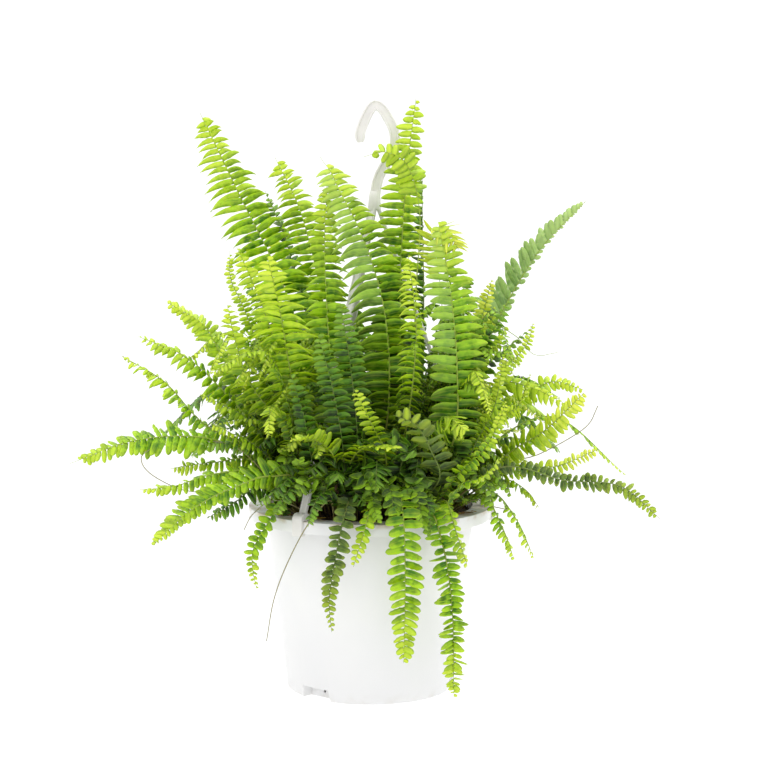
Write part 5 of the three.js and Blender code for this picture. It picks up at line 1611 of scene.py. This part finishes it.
def soil_mesh():
    """A closed polar grid with a rough top and a plain underside inside the pot."""
    work = bmesh.new()
    spokes = circle(SOIL_SPOKES)
    rings = []
    for k in range(1, SOIL_RINGS + 1):
        radius = soil_rim * k / SOIL_RINGS
        spots = [(radius * c, radius * s) for c, s in spokes]
        rings.append([work.verts.new((x * MM, y * MM, soil_height(x, y) * MM)) for x, y in spots])
    for radius, z in soil_low_rings:
        rings.append([work.verts.new((radius * MM * c, radius * MM * s, z * MM)) for c, s in spokes])
    middle = work.verts.new((0, 0, soil_height(0, 0) * MM))
    below = work.verts.new((0, 0, soil_low_rings[-1][1] * MM))
    following = [(a, (a + 1) % SOIL_SPOKES) for a in range(SOIL_SPOKES)]
    for low, high in zip(rings, rings[1:]):
        for a, n in following:
            work.faces.new((low[a], high[a], high[n], low[n]))
    for a, n in following:
        work.faces.new((rings[0][a], rings[0][n], middle))
        work.faces.new((rings[-1][n], rings[-1][a], below))
    bmesh.ops.recalc_face_normals(work, faces=work.faces)
    mesh = from_work("soil_fine", work)
    mesh.shade_smooth()
    return mesh


soil = piece("soil_fine", soil_mesh())
made, tree, shader = material("potting mix")
blotch, speck = grain(tree, 90.0, 1100.0)
colour = mixed(tree, blotch, paint(38, 28, 20), paint(74, 54, 38))
colour = mixed(tree, product(tree, speck, 0.4), colour, paint(104, 82, 58))
roughness = maths(tree, "MULTIPLY_ADD", speck, 0.1, 0.85)
relief = maths(tree, "MULTIPLY_ADD", speck, 0.4, blotch)
plug(tree, shader, colour, roughness, relief, depth=1.2, strength=0.9)
soil.data.materials.append(made)
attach(soil, "root")
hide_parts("soil")
print("soil faces:", len(soil.data.polygons))

# %% [markdown]
# Crumbs and bark bits are small rough lumps. A tree scatters them over the soil's top, each turned and
# sized at random, which is how they come to lie when a pot is filled.

# %% Scatter the crumbs
CRUMB_SIZES = (
    (3.4, 2.6, 2.0), (2.6, 2.2, 1.6), (2.0, 1.8, 1.4), (6.5, 2.2, 1.2), (5.0, 2.8, 1.0), (9.0, 1.0, 0.8),
)
CRUMBS_PER_METRE2 = 13000.0


def lump(name, size, dice):
    """A rough lump of twenty faces."""
    work = bmesh.new()
    bmesh.ops.create_icosphere(work, subdivisions=1, radius=0.5)
    for vertex in work.verts:
        grown = dice.uniform(0.7, 1.15)
        vertex.co = [c * s * MM * grown for c, s in zip(vertex.co, size)]
    return from_work(name, work)


crumbs = bpy.data.collections.new("crumbs")
dice = random.Random("crumbs")
for k, size in enumerate(CRUMB_SIZES):
    mesh = lump(f"crumb {k}", size, dice)
    crumbs.objects.link(bpy.data.objects.new(mesh.name, mesh))

crumb_paint, tree, shader = material("crumb")
blotch, speck = grain(tree, 200.0, 1500.0)
shade = maths(tree, "MULTIPLY_ADD", attribute(tree, "tint"), 0.8, product(tree, blotch, 0.3))
colour = mixed(tree, clamped(tree, shade, 0.1, 1.0), paint(30, 22, 16), paint(138, 108, 74))
roughness = maths(tree, "MULTIPLY_ADD", blotch, 0.15, 0.8)
plug(tree, shader, colour, roughness, speck, depth=0.5, strength=0.7)

scatter, given = geometry_tree("crumbs on the soil", [
    ("Pieces", "Collection"), ("Material", "Material"), ("Density", "Float"), ("Seed", "Int"),
])
strew = partial(step, scatter)
roll = partial(strew, "FunctionNodeRandomValue")
upward = strew("ShaderNodeSeparateXYZ", {0: strew("GeometryNodeInputNormal")}, 2)
on_top = strew("FunctionNodeCompare", {0: upward, 1: 0.5}, data_type="FLOAT", operation="GREATER_THAN")
spots = {"Mesh": given["Geometry"], "Selection": on_top, "Density": given["Density"], "Seed": given["Seed"]}
lying = strew("GeometryNodeInstanceOnPoints", {
    "Points": strew("GeometryNodeDistributePointsOnFaces", spots),
    "Instance": strew("GeometryNodeCollectionInfo", {0: given["Pieces"], 1: True, 2: True}),
    "Pick Instance": True, "Instance Index": roll({4: 0, 5: len(CRUMB_SIZES) - 1}, 2, data_type="INT"),
    "Rotation": roll({1: (math.tau, math.tau, math.tau)}, data_type="FLOAT_VECTOR"),
    "Scale": roll({2: 0.5, 3: 1.2}, 1, data_type="FLOAT"),
})
tints = {"Geometry": lying, "Name": "tint", "Value": roll({2: 0.0, 3: 1.0, 8: 3}, 1, data_type="FLOAT")}
lying = strew("GeometryNodeStoreNamedAttribute", tints, data_type="FLOAT", domain="INSTANCE")
lying = strew("GeometryNodeRealizeInstances", {0: lying})
lying = strew("GeometryNodeSetMaterial", {"Geometry": lying, "Material": given["Material"]})
place(scatter, "NodeGroupOutput", {0: lying})

crumb_piece = piece("soil_crumbs", soil.data.copy())
run_tree(crumb_piece, scatter, {
    "Pieces": crumbs, "Material": crumb_paint, "Density": CRUMBS_PER_METRE2, "Seed": 5,
})
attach(crumb_piece, "root")
print("crumb faces:", len(crumb_piece.data.polygons))

# %% [markdown]
# Old leaflets drop on the rim and dry there, yellow first and then brown. They are the same leaflets as
# the living ones, laid flat along the rim.

# %% Litter on the rim
LITTER = {
    "litter_brown": (paint(112, 78, 44), paint(178, 138, 88),
                     [-147, -142, -137, -131, -64, -36, -32, 12, 70, 128, 165]),
    "litter_yellow": (paint(176, 120, 30), paint(222, 196, 84), [-149, -120, -40, -27, 40, 100]),
}
LITTER_SLIMNESS = 0.55
LITTER_RISE = 1.5

for name, (dark, light, bearings) in LITTER.items():
    dice = random.Random(name)
    work = bmesh.new()
    for bearing in bearings:
        mesh = dice.choice(LEAFLETS["round"][0].objects).data.copy()
        length = dice.uniform(5, 9) * MM
        spin = Matrix.Rotation(math.radians(dice.uniform(0, 360)), 4, "Z")
        spin = spin @ Matrix.Rotation(dice.uniform(-0.2, 0.2), 4, "X")
        shift = Vector(polar(bearing, dice.uniform(88, 98), POT_HEIGHT + LITTER_RISE)) * MM
        size = Matrix.Diagonal((length, length * LITTER_SLIMNESS, length * LITTER_SLIMNESS, 1))
        mesh.transform(Matrix.Translation(shift) @ spin @ size)
        work.from_mesh(mesh)
    made, tree, shader = material(name.replace("_", " "))
    blotch, speck = grain(tree, 220.0, 1600.0)
    colour = mixed(tree, blotch, dark, light)
    roughness = maths(tree, "MULTIPLY_ADD", speck, 0.2, 0.6)
    plug(tree, shader, colour, roughness, speck, depth=0.3, strength=0.6)
    litter = piece(name, from_work(name, work))
    litter.data.materials.append(made)
    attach(litter, "root")
    print(name, len(bearings), "leaflets")

# %% [markdown]
# New fronds come up rolled into croziers. Each is a round stalk that rises from the crown and ends in a
# flat spiral, so the same sweep as the hanger's makes it, with a round section.

# %% Croziers in the crown
CROZIER_WIDTH = 3.0
CROZIER_SUNK = 3.0
CROZIER_LEAN = 4
COIL_RADIUS = 4.5
COIL_TURN = 1.6 * math.tau
# root, bearing and height of the stalk
CROZIERS = [
    ([-26, -66], -100, 34), ([14, -70], -70, 26), ([42, -58], -50, 40), ([-62, -36], -150, 44),
    ([-14, 60], 80, 36), ([66, 10], 10, 30), ([0, -76], -95, 20),
]
work = bmesh.new()
for root, bearing, height in CROZIERS:
    foot = np.array([root[0], root[1], soil_top(math.hypot(*root)) - CROZIER_SUNK])
    ahead = polar(bearing, 1, 0)
    line = [foot + UP * height * t + ahead * CROZIER_LEAN * t * t for t in np.linspace(0, 1, 9)]
    coil_middle = line[-1] + ahead * COIL_RADIUS
    for turn in np.linspace(0, COIL_TURN, 26)[1:]:
        radius = COIL_RADIUS * (1 - 0.8 * turn / COIL_TURN)
        line.append(coil_middle + (-ahead * math.cos(turn) + UP * math.sin(turn)) * radius)
    sizes = np.linspace(1.0, 0.4, len(line))
    coil = swept("coil", line, np.cross(UP, ahead), CROZIER_WIDTH, CROZIER_WIDTH, sizes, ROUND_SECTION)
    work.from_mesh(coil.data)
    bpy.data.objects.remove(coil)
croziers = piece("croziers", from_work("croziers", work))
croziers.data.shade_smooth()
croziers.data.materials.append(RIB_DARK)
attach(croziers, "root")
print("croziers:", len(CROZIERS))

# %% Count the triangles and finish
riding = [o for o in scene.objects if o.type == "MESH" and o.name != "floor"]
print("triangles in all:", sum(len(p.vertices) - 2 for o in riding for p in o.data.polygons))
